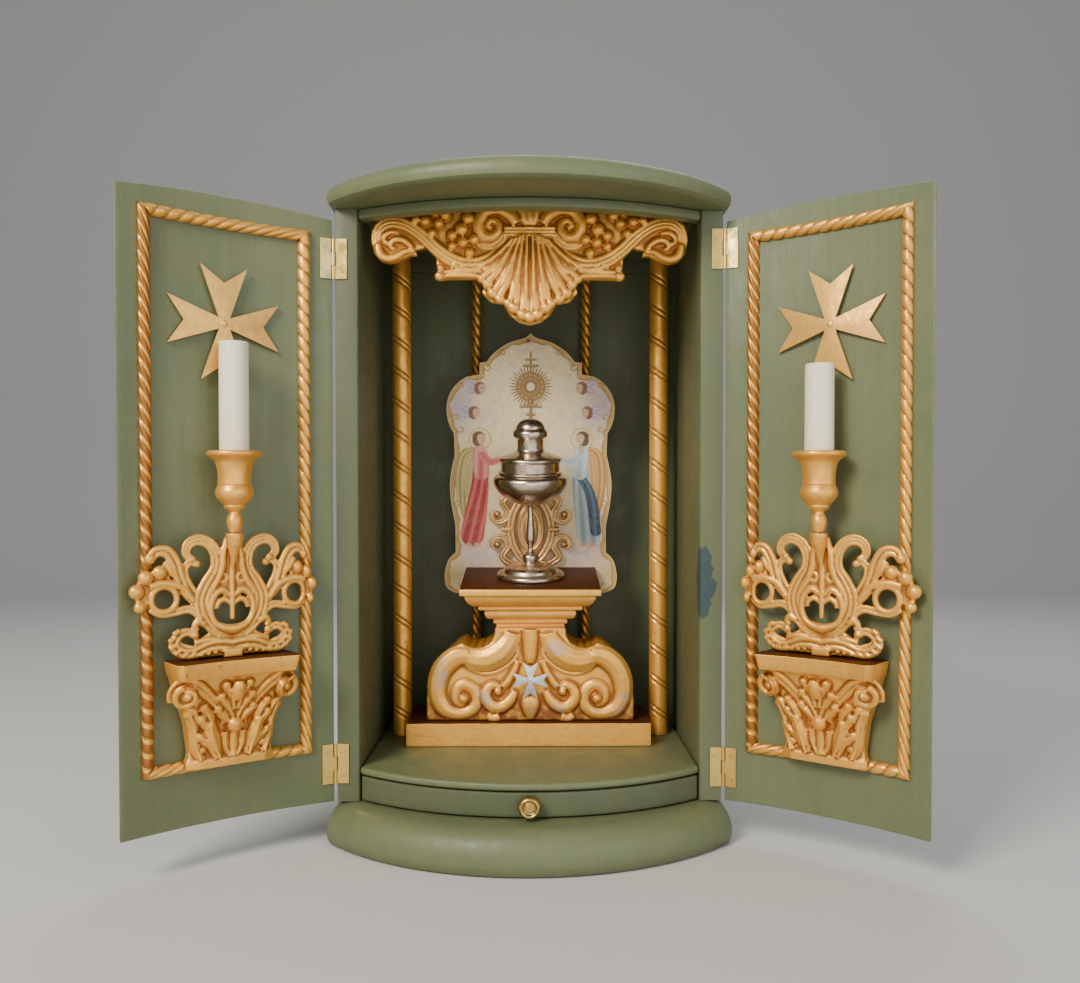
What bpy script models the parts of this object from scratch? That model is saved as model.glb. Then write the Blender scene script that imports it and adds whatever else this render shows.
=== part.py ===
"""Viaticum tabernacle: a bow-fronted painted cabinet with two doors and a drawer.

Metres, +Z up. The origin is under the middle of the base, on the ground. The front faces -Y.
The doors stand open, as the cabinet is shown, and the drawer is closed.
"""

from math import atan2, cos, hypot, pi, radians, sin, sqrt

import bmesh
import bpy

MM = 0.001
GAP = 0.3 * MM                    # clearance between pieces that rest on each other

# Cabinet
INNER_HALF = 151 * MM             # half the clear width of the niche
SIDE_THICK = 20 * MM
DEPTH = 262 * MM                  # side walls, front to back
BACK_THICK = 10 * MM
FRONT_Y = -120 * MM               # plane of the side walls' front edges
BASE_HIGH = 36 * MM
BASE_OVER = 9 * MM                # how far the base stands out past the side walls
BASE_BOW = 86 * MM                # rise of the base's front curve
CORNICE_LOW = 560 * MM            # underside of the top board
CORNICE_THICK = 19.5 * MM
CORNICE_OVER = 6 * MM
CORNICE_BOW = 86 * MM
CEILING_RECESS = 11 * MM          # how deep the top board's underside is hollowed inside the cabinet
NOSE_STEP = 8 * MM                # from the front plane to where a nosing's curve starts
CORNER = 12 * MM                  # rounding of a nosing's front corners
BOW_STEPS = 12

# Floor of the niche, drawer and front rail
DRAWER_SLOT = 24.2 * MM           # clear height between the base and the floor of the niche
SHELF_THICK = 6.5 * MM
SHELF_BOW = 56 * MM
RAIL_HIGH = 8.5 * MM              # how far it reaches down below the top board
RAIL_THICK = 16 * MM
RAIL_BOW = 40 * MM
DRAWER_PLAY = 1.4 * MM
DRAWER_FRONT_BOW = 53 * MM
DRAWER_FRONT_THICK = 10 * MM
DRAWER_DEEP = 190 * MM            # tray, from the front plane of the sides to its back
DRAWER_WALL = 5 * MM
DRAWER_BOTTOM = 4 * MM
KNOB_RADIUS = 9.8 * MM
KNOB_LONG = 11 * MM

# Doors
DOOR_CLEAR = 2.4 * MM             # from the stiles to the doors' inner faces, room for the hinges
HINGE_OUT = 1.3 * MM              # the hinge axis stands this far outside the side walls
DOOR_PROW = 66 * MM               # how far the meeting line stands in front of the hinge axis
DOOR_SAG = 9 * MM                 # bow of one door
DOOR_THICK = 14 * MM
DOOR_LIFT = 0.6 * MM              # gap under the doors, over the base
DOOR_DROP = 10 * MM               # from the top board down to the ends of the doors' top edges
DOOR_ARCH = 6 * MM                # rise of each door's top edge
DOOR_MEET = 0.6 * MM              # half the gap between the closed doors
DOOR_STEPS = 10
OPEN_LEFT = radians(121.5)
OPEN_RIGHT = radians(119)

# Hinges
LEAF_HIGH = 35 * MM
LEAF_WIDE = 11.6 * MM
LEAF_THICK = 1 * MM
KNUCKLE_RADIUS = 1.9 * MM
KNUCKLES = 3
HINGE_UP = {"left": 33.9 * MM, "right": 29.9 * MM}      # middle of the lower hinge, over the door's bottom edge
HINGE_DOWN = {"left": 34 * MM, "right": 24 * MM}        # middle of the upper one, under its top edge

# Rope mouldings on the doors
ROPE_WIDE = 10 * MM
ROPE_HIGH = 6 * MM
ROPE_PITCH = 36 * MM
FRAME_UP = 45.4 * MM              # outer edges of the rope frame, from the door's bottom, top and two sides
FRAME_DOWN = 12 * MM
FRAME_HINGE = 21 * MM
FRAME_FREE = 18.5 * MM

# Door ornaments, on one axis up the door
AXIS_SHARE = 0.52                 # where that axis stands, as a share of the door's width
CROSS_DOWN = 100 * MM             # middle of the cross, under the door's top edge
CROSS_HALF = 47 * MM
CROSS_THICK = 2.5 * MM
CAPITAL_UP = 4 * MM               # foot of the capital, over the frame's outer edge
CAPITAL_TALL = 89.5 * MM
CAPITAL_HALF = 52 * MM
CAPITAL_FOOT_HALF = 37 * MM
CAPITAL_OUT = 38 * MM
ABACUS_HIGH = 13 * MM
SCROLL_HIGH = 102 * MM
SCROLL_HALF = 79 * MM
SCROLL_BACK = 12.5 * MM            # its flat back, from the middle of the hollow door, in front of the ropes
SCROLL_FRONT = 21 * MM
BERRY_RADIUS = 7 * MM
CUP_OUT = 24 * MM                 # axis of cup and candle, in front of the door's face
CUP_HIGH = 66 * MM
CUP_RADIUS = 21.5 * MM
CUP_SINK = 14 * MM
CANDLE_RADIUS = 11.8 * MM
CANDLE_LONG = {"left": 101 * MM, "right": 84 * MM}

# Columns
COLUMN_X = 129.8 * MM
COLUMN_RADIUS = 9.3 * MM
COLUMN_BACK = 131 * MM            # behind the front plane of the sides
REAR_COLUMN_X = 61 * MM
REAR_COLUMN_RADIUS = 5.6 * MM
REAR_COLUMN_BACK = 238 * MM
REAR_TWIST = 60 * MM              # length of one whole turn

# Crest
CREST_BACK = 26 * MM              # its back, behind the front plane of the sides
CREST_THICK = 8 * MM
CREST_RELIEF = 9 * MM
CREST_HALF = 143 * MM
CREST_HIGH = 108 * MM             # ceiling to the tip of the fan
GRAPE_RADIUS = 6 * MM

# Pedestal
BOARD_X = -1.5 * MM
BOARD_HALF = 118 * MM
BOARD_THICK = 22.5 * MM
BOARD_FRONT = 75 * MM
BOARD_DEEP = 92 * MM
CONSOLE_HALF = 101.6 * MM
CONSOLE_HIGH = 90 * MM
CONSOLE_FRONT = 88 * MM
CONSOLE_DEEP = 72 * MM
CONSOLE_RELIEF = 6 * MM
CAP_HALF = 68.3 * MM
CAP_HIGH = 38.5 * MM              # at its front edge
CAP_FRONT = 75 * MM
CAP_DEEP = 105 * MM
CAP_RISE = 15 * MM                # the top slopes down to the front by this much
STAND_BACK = 100 * MM             # back of the openwork stand, from the cap's front
STAND_HIGH = 81.5 * MM
STAND_THICK = 7 * MM
SMALL_CROSS_HALF = 17.5 * MM

# Picture card
CARD_THICK = 3 * MM
CARD_HIGH = 275 * MM
CARD_SINK = 12.3 * MM             # how far it hangs below the cap's front edge
CARD_HALF = 92 * MM

# Vessel
VESSEL_FORWARD = 56 * MM          # its axis, from the cap's front
BOWL_RADIUS = 37 * MM
VESSEL_HIGH = 160 * MM
VESSEL_WALL = 1.5 * MM
TURNED_STEPS = 11

GREEN = ("sage_green_paint", (0.16, 0.2, 0.1, 1), 0.5, 0)
GILT = ("gilt_wood", (0.66, 0.38, 0.12, 1), 0.38, 0.6)
BRASS = ("brass", (0.8, 0.56, 0.2, 1), 0.3, 1)
SILVER = ("tarnished_silver", (0.35, 0.3, 0.24, 1), 0.25, 1)
BRIGHT = ("silver_leaf", (0.75, 0.75, 0.75, 1), 0.4, 0.4)
VARNISH = ("dark_varnish", (0.12, 0.04, 0.01, 1), 0.2, 0)
WAX = ("wax", (0.85, 0.82, 0.74, 1), 0.5, 0)
CARD = ("printed_card", (0.72, 0.66, 0.5, 1), 0.6, 0)


def finish(name, colour, roughness, metallic):
    if name in bpy.data.materials:
        return bpy.data.materials[name]
    made = bpy.data.materials.new(name)
    made.use_nodes = True
    shader = made.node_tree.nodes["Principled BSDF"]
    shader.inputs["Base Color"].default_value = colour
    shader.inputs["Roughness"].default_value = roughness
    shader.inputs["Metallic"].default_value = metallic
    return made


def mesh_of(name, shells):
    """One mesh holding every shell, each a (points, faces) pair that closes on itself."""
    bm = bmesh.new()
    for points, faces in shells:
        corners = [bm.verts.new(point) for point in points]
        for face in faces:
            bm.faces.new([corners[i] for i in face])
    bmesh.ops.recalc_face_normals(bm, faces=bm.faces[:])
    mesh = bpy.data.meshes.new(name)
    bm.to_mesh(mesh)
    bm.free()
    return mesh


def placed(name, mesh, parent):
    made = bpy.data.objects.new(name, mesh)
    bpy.context.collection.objects.link(made)
    made.parent = parent
    return made


def helper(name, shells, parent):
    """A solid that only joins or cuts another one."""
    made = placed(name, mesh_of(name, shells), parent)
    made.hide_render = True
    made.display_type = "WIRE"
    return made


def combine(target, other, operation):
    step = target.modifiers.new(other.name, "BOOLEAN")
    step.operation = operation
    step.object = other
    step.solver = "EXACT"
    step.use_self = operation == "UNION"


def piece(name, shells, look, parent=None, smooth=30):
    """One solid. Several overlapping shells are joined into one by a Boolean."""
    made = placed(name, mesh_of(name, shells[:-1] or shells), parent)
    made.data.materials.append(finish(*look))
    made.data.shade_smooth()
    made.data.set_sharp_from_angle(angle=radians(smooth))
    if len(shells) > 1:
        combine(made, helper(name + "_join", shells[-1:], parent), "UNION")
    return made


def loft(rings):
    """A closed solid through rings that have as many points each."""
    count = len(rings[0])
    points = [point for ring in rings for point in ring]
    faces = [tuple(range(count)), tuple(range(len(points) - count, len(points)))]
    for low in range(0, len(points) - count, count):
        for i in range(count):
            j = (i + 1) % count
            faces.append((low + i, low + j, low + count + j, low + count + i))
    return points, faces


def prism(outline, y_back, y_front):
    """An outline in X and Z, given depth along Y."""
    return loft([[(x, y, z) for x, z in outline] for y in (y_back, y_front)])


def block(x0, x1, y0, y1, z0, z1):
    return loft([[(x0, y0, z), (x1, y0, z), (x1, y1, z), (x0, y1, z)] for z in (z0, z1)])


def slab(outline, z0, z1):
    """An outline in X and Y, given height."""
    return loft([[(x, y, z) for x, y in outline] for z in (z0, z1)])


def mirrored(shells):
    return [([(-x, y, z) for x, y, z in points], faces) for points, faces in shells]


def moved(shells, dx, dz):
    return [([(x + dx, y, z + dz) for x, y, z in points], faces) for points, faces in shells]


def band(path, widths, y_back, y_front, y_edge=None):
    """A carved strap along a path in X and Z, with a raised ridge down its middle."""
    y_edge = y_back if y_edge is None else y_edge
    rings = []
    for i, (x, z) in enumerate(path):
        (x0, z0), (x1, z1) = path[max(i - 1, 0)], path[min(i + 1, len(path) - 1)]
        reach = hypot(x1 - x0, z1 - z0)
        half = (widths[i] if isinstance(widths, list) else widths) / 2
        nx, nz = (z0 - z1) / reach * half, (x1 - x0) / reach * half
        ring = [(x + nx, y_back, z + nz), (x - nx, y_back, z - nz)]
        if y_edge != y_back:
            ring = ring + [(x - nx, y_edge, z - nz), (x, y_front, z), (x + nx, y_edge, z + nz)]
        else:
            ring.append((x, y_front, z))
        rings.append(ring)
    return loft(rings)


def spiral(x, z, start, end, start_angle, end_angle, steps):
    """Points round (x, z) whose distance goes from start to end. Angles are in degrees."""
    points = []
    for i in range(steps + 1):
        share = i / steps
        angle = radians(start_angle + (end_angle - start_angle) * share)
        reach = start + (end - start) * share
        points.append((x + reach * cos(angle), z + reach * sin(angle)))
    return points


def taper(wide, narrow, count):
    return [wide + (narrow - wide) * i / (count - 1) for i in range(count)]


def smooth_path(points, steps):
    """A Catmull-Rom curve through a few points."""
    ends = [points[0]] + points + [points[-1]]
    path = []
    for a, b, c, d in zip(ends, ends[1:], ends[2:], ends[3:]):
        for i in range(steps):
            t = i / steps
            path.append(tuple(
                0.5 * (2 * q + (r - p) * t + (2 * p - 5 * q + 4 * r - s) * t * t
                       + (3 * q - p - 3 * r + s) * t ** 3)
                for p, q, r, s in zip(a, b, c, d)
            ))
    return path + [points[-1]]


def bead(x, y, z, radius, flat=1):
    """A small eight-sided berry."""
    points = [(x, y, z + radius), (x, y, z - radius)]
    for i in range(4):
        angle = pi / 4 + i * pi / 2
        points.append((x + radius * cos(angle), y + radius * flat * sin(angle), z))
    faces = [(0, 2 + i, 2 + (i + 1) % 4) for i in range(4)] + [(1, 2 + (i + 1) % 4, 2 + i) for i in range(4)]
    return points, faces


def turned(profile, x=0, y=0, z=0, steps=TURNED_STEPS):
    """A solid of revolution. The profile is (radius, height) and starts and ends on the axis."""
    points = [(x, y, z + profile[0][1]), (x, y, z + profile[-1][1])]
    for radius, height in profile[1:-1]:
        for i in range(steps):
            angle = 2 * pi * i / steps
            points.append((x + radius * cos(angle), y + radius * sin(angle), z + height))
    rows = len(profile) - 2
    faces = []
    for i in range(steps):
        j = (i + 1) % steps
        faces.append((0, 2 + i, 2 + j))
        faces.append((1, 2 + (rows - 1) * steps + j, 2 + (rows - 1) * steps + i))
        for row in range(rows - 1):
            low = 2 + row * steps
            faces.append((low + i, low + steps + i, low + steps + j, low + j))
    return points, faces


def rise(x, half, bow):
    """How far a circular arc of this half chord and rise stands in front of its chord, at x."""
    radius = (half ** 2 + bow ** 2) / (2 * bow)
    return sqrt(radius ** 2 - x ** 2) - (radius - bow)


def bowed(half, bow, y_side, y_back, steps=BOW_STEPS, corner=0):
    """A plan outline with a straight back and sides and a bowed front."""
    chord = half - corner
    outline = [(half, y_back)]
    if corner:
        outline += [(half, y_side + corner), (half - corner * 0.25, y_side + corner * 0.3)]
    for i in range(steps + 1):
        x = chord * cos(pi * i / steps) if corner else chord * (1 - 2 * i / steps)
        outline.append((x, y_side - rise(x, chord, bow)))
    if corner:
        outline += [(-half + corner * 0.25, y_side + corner * 0.3), (-half, y_side + corner)]
    return outline + [(-half, y_back)]


def board_levels(levels, half, bow, y_side, y_back):
    """A bowed board whose front and ends follow a nosing: levels are (height, set back)."""
    rings = []
    for z, back in levels:
        outline = bowed(half - back, bow - back * 0.1, y_side + back, y_back, corner=CORNER)
        rings.append([(x, y, z) for x, y in outline])
    return loft(rings)


def maltese(half, notch=0.26, waist=0.11):
    """An eight-pointed cross: four arms that widen outwards and are notched at their ends."""
    outline = []
    for i in range(4):
        turn = i * pi / 2
        for x, z in ((waist, waist), (1, 0.42), (1 - notch, 0), (1, -0.42)):
            outline.append(((x * cos(-turn) - z * sin(-turn)) * half, (x * sin(-turn) + z * cos(-turn)) * half))
    return outline


for leftover in list(bpy.data.objects):
    bpy.data.objects.remove(leftover, do_unlink=True)

BACK_Y = FRONT_Y + DEPTH
BACK_INSIDE = BACK_Y - BACK_THICK
OUTER_HALF = INNER_HALF + SIDE_THICK
FLUSH = INNER_HALF - GAP
SHELF_TOP = BASE_HIGH + DRAWER_SLOT + SHELF_THICK
CORNICE_HIGH = CORNICE_LOW + CORNICE_THICK
CEILING = CORNICE_LOW + CEILING_RECESS
DOOR_LOW = BASE_HIGH + DOOR_LIFT
DOOR_HIGH = CORNICE_LOW - DOOR_DROP
CREST_TIP = CEILING - CREST_HIGH


def make_cabinet():
    base = [(0, 3 * MM), (5 * MM, 0.5 * MM), (14 * MM, 0), (24 * MM, 1.5 * MM), (31 * MM, 4.5 * MM),
            (BASE_HIGH, 9 * MM)]
    piece("base_step", [board_levels(base, OUTER_HALF + BASE_OVER, BASE_BOW, FRONT_Y - NOSE_STEP, BACK_Y)],
          GREEN)
    lip = CORNICE_HIGH - CORNICE_LOW
    nosing = [(CORNICE_LOW, 5.8 * MM), (CORNICE_LOW + lip * 0.2, 3 * MM), (CORNICE_LOW + lip * 0.45, 0.6 * MM),
              (CORNICE_LOW + lip * 0.7, 0), (CORNICE_LOW + lip * 0.9, 1.2 * MM), (CORNICE_HIGH, 4.5 * MM)]
    top = piece("cornice_top", [board_levels(nosing, OUTER_HALF + CORNICE_OVER, CORNICE_BOW,
                                             FRONT_Y - NOSE_STEP, BACK_Y)],
                GREEN)
    recess = bowed(INNER_HALF - 4 * MM, RAIL_BOW - RAIL_THICK, FRONT_Y + 2 * MM, BACK_INSIDE - 4 * MM)
    combine(top, helper("ceiling_recess", [slab(recess, CORNICE_LOW - 5 * MM, CEILING)], None), "DIFFERENCE")
    low, high = BASE_HIGH + GAP, CORNICE_LOW - GAP
    for name, side in (("side_left", -1), ("side_right", 1)):
        inner, outer = side * INNER_HALF, side * OUTER_HALF
        chamfer = side * 2 * MM
        plan = [(inner + chamfer, FRONT_Y), (outer - chamfer, FRONT_Y), (outer, FRONT_Y + 2 * MM),
                (outer, BACK_Y),
                (inner, BACK_Y), (inner, FRONT_Y + 2 * MM)]
        piece(name, [slab(plan, low, high)], GREEN)
    piece("back_board", [block(-FLUSH, FLUSH, BACK_INSIDE, BACK_Y, low, high)], GREEN)
    shelf = bowed(FLUSH, SHELF_BOW, FRONT_Y, BACK_INSIDE - GAP)
    tuck = bowed(FLUSH, SHELF_BOW - 2 * MM, FRONT_Y + 0.5 * MM, BACK_INSIDE - GAP)
    under = SHELF_TOP - SHELF_THICK
    piece("floor_shelf", [loft([[(x, y, under) for x, y in tuck], [(x, y, under + 1.5 * MM) for x, y in shelf],
                                [(x, y, SHELF_TOP - 1.5 * MM) for x, y in shelf],
                                [(x, y, SHELF_TOP) for x, y in tuck]])],
          GREEN)
    rail = bowed(FLUSH, RAIL_BOW, FRONT_Y, FRONT_Y + 1)[1:-1]
    inside = [(x, y + RAIL_THICK) for x, y in reversed(rail)]
    piece("front_rail", [slab(rail + inside, CORNICE_LOW - RAIL_HIGH, high)], GREEN)


def make_columns():
    floor, top = SHELF_TOP + GAP, CEILING - GAP
    for name, side in (("column_left", -1), ("column_right", 1)):
        profile = [(0, floor), (COLUMN_RADIUS, floor), (COLUMN_RADIUS, top), (0, top)]
        piece(name, [turned(profile, side * COLUMN_X, FRONT_Y + COLUMN_BACK, steps=14)], GILT)
    stations = round((top - floor) / REAR_TWIST * 4)
    for name, side in (("rear_column_left", -1), ("rear_column_right", 1)):
        rings = []
        for i in range(stations + 1):
            z = floor + (top - floor) * i / stations
            turn = side * 2 * pi * (z - floor) / REAR_TWIST
            rings.append([(side * REAR_COLUMN_X + REAR_COLUMN_RADIUS * cos(turn + pi * k / 2),
                           FRONT_Y + REAR_COLUMN_BACK + REAR_COLUMN_RADIUS * sin(turn + pi * k / 2), z)
                          for k in range(4)])
        piece(name, [loft(rings)], GILT, smooth=60)


def make_drawer():
    low = BASE_HIGH + DRAWER_PLAY
    high = BASE_HIGH + DRAWER_SLOT - DRAWER_PLAY
    half = INNER_HALF - DRAWER_PLAY
    front = bowed(half, DRAWER_FRONT_BOW, FRONT_Y, FRONT_Y + 1)[1:-1]
    behind = [(x, y + DRAWER_FRONT_THICK) for x, y in reversed(front)]
    piece("drawer_front", [slab(front + behind, low, high)], GREEN)
    start = FRONT_Y + DRAWER_FRONT_THICK + GAP
    body = half - 2 * MM
    outer = bowed(body, DRAWER_FRONT_BOW, start + 1 * MM, FRONT_Y + DRAWER_DEEP)
    hollow = bowed(body - DRAWER_WALL, DRAWER_FRONT_BOW - 3 * MM, start + 1 * MM + DRAWER_WALL,
                   FRONT_Y + DRAWER_DEEP - DRAWER_WALL)
    tray = piece("drawer_tray", [slab(outer, low, high - 2 * MM)], VARNISH)
    combine(tray, helper("drawer_room", [slab(hollow, low + DRAWER_BOTTOM, high + 5 * MM)], None), "DIFFERENCE")
    middle = (low + high) / 2
    profile = [(0, 0), (5 * MM, 0), (4 * MM, 3 * MM), (KNOB_RADIUS, 5.5 * MM), (KNOB_RADIUS, 8.5 * MM),
               (KNOB_RADIUS * 0.75, KNOB_LONG), (3 * MM, KNOB_LONG), (2.5 * MM, KNOB_LONG - 1 * MM),
               (0, KNOB_LONG - 1 * MM)]
    points, faces = turned(profile, steps=12)
    face = FRONT_Y - DRAWER_FRONT_BOW - GAP
    points = [(x, face - z, middle + y) for x, y, z in points]
    piece("drawer_knob", [(points, faces)], BRASS)


def console_outline():
    """Half of the console's front outline, from the top of the neck down to the foot, as shares of its
    half width and height."""
    half, high = CONSOLE_HALF, CONSOLE_HIGH
    neck = spiral(0.6 * half, 0.98 * high, 0.27 * half, 0.27 * half, 180, 255, 3)
    ear = [(0.64 * half, 0.83 * high)]
    back = [(half * (0.44 + 0.56 * cos(radians(a))), high * (0.28 + 0.5 * sin(radians(a))))
            for a in (62, 45, 28, 10, -8)]
    return neck + ear + back + [(0.97 * half, 0)]


def make_console(bottom):
    side = console_outline()
    front = FRONT_Y + CONSOLE_FRONT
    outline = [(x, bottom + z) for x, z in side] + [(-x, bottom + z) for x, z in reversed(side)]
    body = prism(outline, front + CONSOLE_DEEP, front)
    raised, sunk = front - CONSOLE_RELIEF, front + 3 * MM
    half, high = CONSOLE_HALF, CONSOLE_HIGH
    volute = [(0.5 * half, 0.64 * high), (0.74 * half, 0.66 * high)]
    volute += spiral(0.69 * half, 0.33 * high, 0.26 * half, 0.07 * half, 72, -300, 8)
    strap = smooth_path([(0.2 * half, 0.9 * high), (0.27 * half, 0.62 * high), (0.45 * half, 0.48 * high),
                         (0.66 * half, 0.56 * high)], 2)
    curl = spiral(0.33 * half, 0.28 * high, 0.15 * half, 0.06 * half, 170, 400, 5)
    foot = smooth_path([(0.1 * half, 0.3 * high), (0.2 * half, 0.14 * high), (0.4 * half, 0.1 * high)], 2)
    right = [band(volute, taper(0.2 * half, 0.09 * half, len(volute)), sunk, raised),
             band(strap, taper(0.12 * half, 0.2 * half, len(strap)), sunk, raised),
             band(curl, 0.1 * half, sunk, raised), band(foot, 0.12 * half, sunk, raised)]
    tongue = band([(0, bottom + high * 0.97), (0, bottom + high * 0.75), (0, bottom + high * 0.6)],
                  [0.17 * half, 0.2 * half, 0.12 * half], sunk, raised)
    leaf = band([(0, bottom + high * 0.3), (0, bottom + high * 0.16), (0, bottom + 1 * MM)],
                [0.16 * half, 0.22 * half, 0.1 * half], sunk, raised)
    carved = moved(right, 0, bottom)
    piece("pedestal_console", [body] + carved + mirrored(carved) + [tongue, leaf], GILT)


def make_pedestal():
    """The board, the carved console and the moulded cap, whose top slopes down to the front."""
    low = SHELF_TOP + GAP
    top = SHELF_TOP + BOARD_THICK
    front = FRONT_Y + BOARD_FRONT
    piece("pedestal_board", [block(BOARD_X - BOARD_HALF, BOARD_X + BOARD_HALF, front, front + BOARD_DEEP,
                                   low, top)], GILT)
    make_console(top + GAP)
    cap_low = top + GAP + CONSOLE_HIGH + GAP
    steps = [(0, 0.485), (0.1, 0.485), (0.11, 0.52), (0.22, 0.53), (0.24, 0.62), (0.38, 0.66), (0.5, 0.7),
             (0.52, 0.74),
             (0.57, 0.74), (0.6, 0.82), (0.75, 0.88), (0.84, 0.93), (0.86, 1), (1, 1)]
    y0, y1 = FRONT_Y + CAP_FRONT, FRONT_Y + CAP_FRONT + CAP_DEEP
    rings = []
    for share, wide in steps:
        half, inset = CAP_HALF * wide, CAP_HALF * (1 - wide) * 0.55
        lift = CAP_RISE if share == 1 else 0
        z = cap_low + CAP_HIGH * share
        rings.append([(-half, y0 + inset, z), (half, y0 + inset, z), (half, y1, z + lift),
                      (-half, y1, z + lift)])
    piece("pedestal_cap", [loft(rings)], GILT)
    cross = maltese(SMALL_CROSS_HALF)
    face = FRONT_Y + CONSOLE_FRONT - CONSOLE_RELIEF - GAP
    middle = top + GAP + CONSOLE_HIGH * 0.45
    piece("silver_cross", [prism([(x, middle + z) for x, z in cross], face, face - 2 * MM)], BRIGHT)
    return cap_low + CAP_HIGH


def make_stand(cap_top):
    """Four C-scrolls round a pointed oval, standing on the cap behind the vessel. Sizes are shares of its
    height."""
    tall = STAND_HIGH
    back = FRONT_Y + CAP_FRONT + STAND_BACK
    face, edge = back - STAND_THICK, back - STAND_THICK * 0.45
    foot = cap_top + CAP_RISE * STAND_BACK / CAP_DEEP + GAP
    middle = foot + tall / 2
    strap = 0.08 * tall
    brow = tall / 2 - strap / 2
    curl = spiral(0.43 * tall, middle + 0.19 * tall, 0.037 * tall, 0.153 * tall, 60, -245, 7)
    curl += [(0.295 * tall, middle + brow - 0.02 * tall), (0.11 * tall, middle + brow),
             (0, middle + brow - 0.04 * tall)]
    upper = band(curl, [0.05 * tall] * 2 + [strap] * (len(curl) - 2), back, face)
    lower = ([(x, y, 2 * middle - z) for x, y, z in upper[0]], upper[1])
    oval = [(0.245 * tall * sin(a) * (1 - 0.12 * abs(cos(a))), middle + 0.405 * tall * cos(a))
            for a in (radians(-4 + 188 * i / 6) for i in range(7))]
    rim = band(oval, 0.074 * tall, back, face)
    bridge = block(-0.17 * tall, 0.17 * tall, edge, back, foot, foot + 0.045 * tall)
    tie = block(0.185 * tall, 0.33 * tall, edge, back, middle - 0.037 * tall, middle + 0.037 * tall)
    ring = [2 * pi * i / 8 for i in range(8)]
    boss = prism([(0.11 * tall * cos(a), middle + 0.26 * tall * sin(a)) for a in ring], back, edge)
    arms = block(-0.21 * tall, 0.21 * tall, edge, back, middle - 0.037 * tall, middle + 0.037 * tall)
    half = [upper, lower, rim, tie]
    piece("scroll_stand", half + mirrored(half) + [bridge, arms, boss], GILT)


def make_card(cap_top):
    """The shaped card fixed behind the cap: a pointed top, three pairs of lobes and two waists."""
    half, high, low = CARD_HALF, CARD_HIGH, cap_top - CARD_SINK
    side = [(0, 1), (0.1, 0.965), (0.3, 0.95), (0.46, 0.915), (0.59, 0.885)]
    side += [(0.6 + 0.37 * sin(a), 0.745 + 0.125 * cos(a)) for a in (radians(18 + 28 * i) for i in range(6))]
    side += [(0.87, 0.61), (0.87, 0.555)]
    side += [(0.87 + 0.06 * sin(a), 0.405 + 0.13 * cos(a)) for a in (radians(20 + 47 * i) for i in range(4))]
    side += [(0.87, 0.245), (0.87, 0.185)]
    side += [(0.7 + 0.3 * sin(a), 0.09 + 0.09 * cos(a)) for a in (radians(40 + 35 * i) for i in range(5))]
    outline = [(x * half, low + z * high) for x, z in side]
    outline += [(-x, z) for x, z in reversed(outline[1:])]
    back = FRONT_Y + CAP_FRONT + CAP_DEEP + GAP
    piece("picture_card", [prism(outline, back + CARD_THICK, back)], CARD)


def make_crest():
    """The carved crest: a back plate with a shell fan, two volutes, two long scroll arms and grapes."""
    back = FRONT_Y + CREST_BACK
    plate, raised = back - CREST_THICK, back - CREST_THICK - CREST_RELIEF
    top = CEILING - 2 * MM
    half, high = CREST_HALF, top - CREST_TIP
    side = [(0, 0.99), (0.55, 0.985), (0.9, 0.9), (0.985, 0.8), (1, 0.66), (0.97, 0.53), (0.9, 0.49),
            (0.84, 0.55),
            (0.7, 0.61), (0.58, 0.5), (0.55, 0.42), (0.52, 0.385), (0.3, 0.38), (0.265, 0.24), (0.17, 0.2),
            (0.13, 0.08), (0.05, 0)]
    outline = [(x * half, CREST_TIP + z * high) for x, z in side]
    outline += [(-x, z) for x, z in reversed(outline[1:])]
    shells = [prism(outline, back, plate)]
    sunk = plate + 2 * MM
    tie = CREST_TIP + high * 0.74
    for degree, reach, wide in ((-90, 0.7, 0.1), (-72, 0.66, 0.09), (-54, 0.56, 0.09), (-37, 0.5, 0.1),
                                (-20, 0.54, 0.09)):
        a = radians(degree)
        length = reach * high * (1.05 if degree < -30 else 1.5)
        spine = [(0.03 * half * cos(a), tie), (length * 0.55 * cos(a), tie + length * 0.5 * sin(a)),
                 (length * cos(a), tie + length * 0.97 * sin(a))]
        lobe = band(spine, [0.03 * half, wide * half, wide * half * 0.8], sunk, raised)
        shells += [lobe] if degree == -90 else [lobe] + mirrored([lobe])
    volute = [(0.07 * half, tie)] + spiral(0.26 * half, tie + 0.06 * high, 0.12 * half, 0.03 * half, 200,
                                           -130, 6)
    arm = smooth_path([(0.2 * half, tie - 0.2 * high), (0.4 * half, tie - 0.24 * high),
                       (0.62 * half, tie - 0.02 * high),
                       (0.86 * half, tie + 0.12 * high), (0.94 * half, tie - 0.06 * high),
                       (0.86 * half, tie - 0.12 * high)], 2)
    arm_band = band(arm, taper(0.09 * half, 0.07 * half, len(arm)), sunk, raised)
    volute_band = band(volute, 0.065 * half, sunk, raised)
    grapes = []
    for x, z in ((0.44, 0.11), (0.54, 0.1), (0.64, 0.12), (0.48, 0), (0.57, 0), (0.43, -0.09)):
        grapes.append(bead(x * half, plate - 0.5 * MM, tie + z * high, GRAPE_RADIUS, 0.8))
    shells += [arm_band, volute_band] + mirrored([arm_band, volute_band]) + grapes + mirrored(grapes)
    shells.append(block(-0.17 * half, 0.17 * half, raised, sunk, tie - 2.5 * MM, tie + 2.5 * MM))
    piece("crest_carving", shells, GILT)


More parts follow.
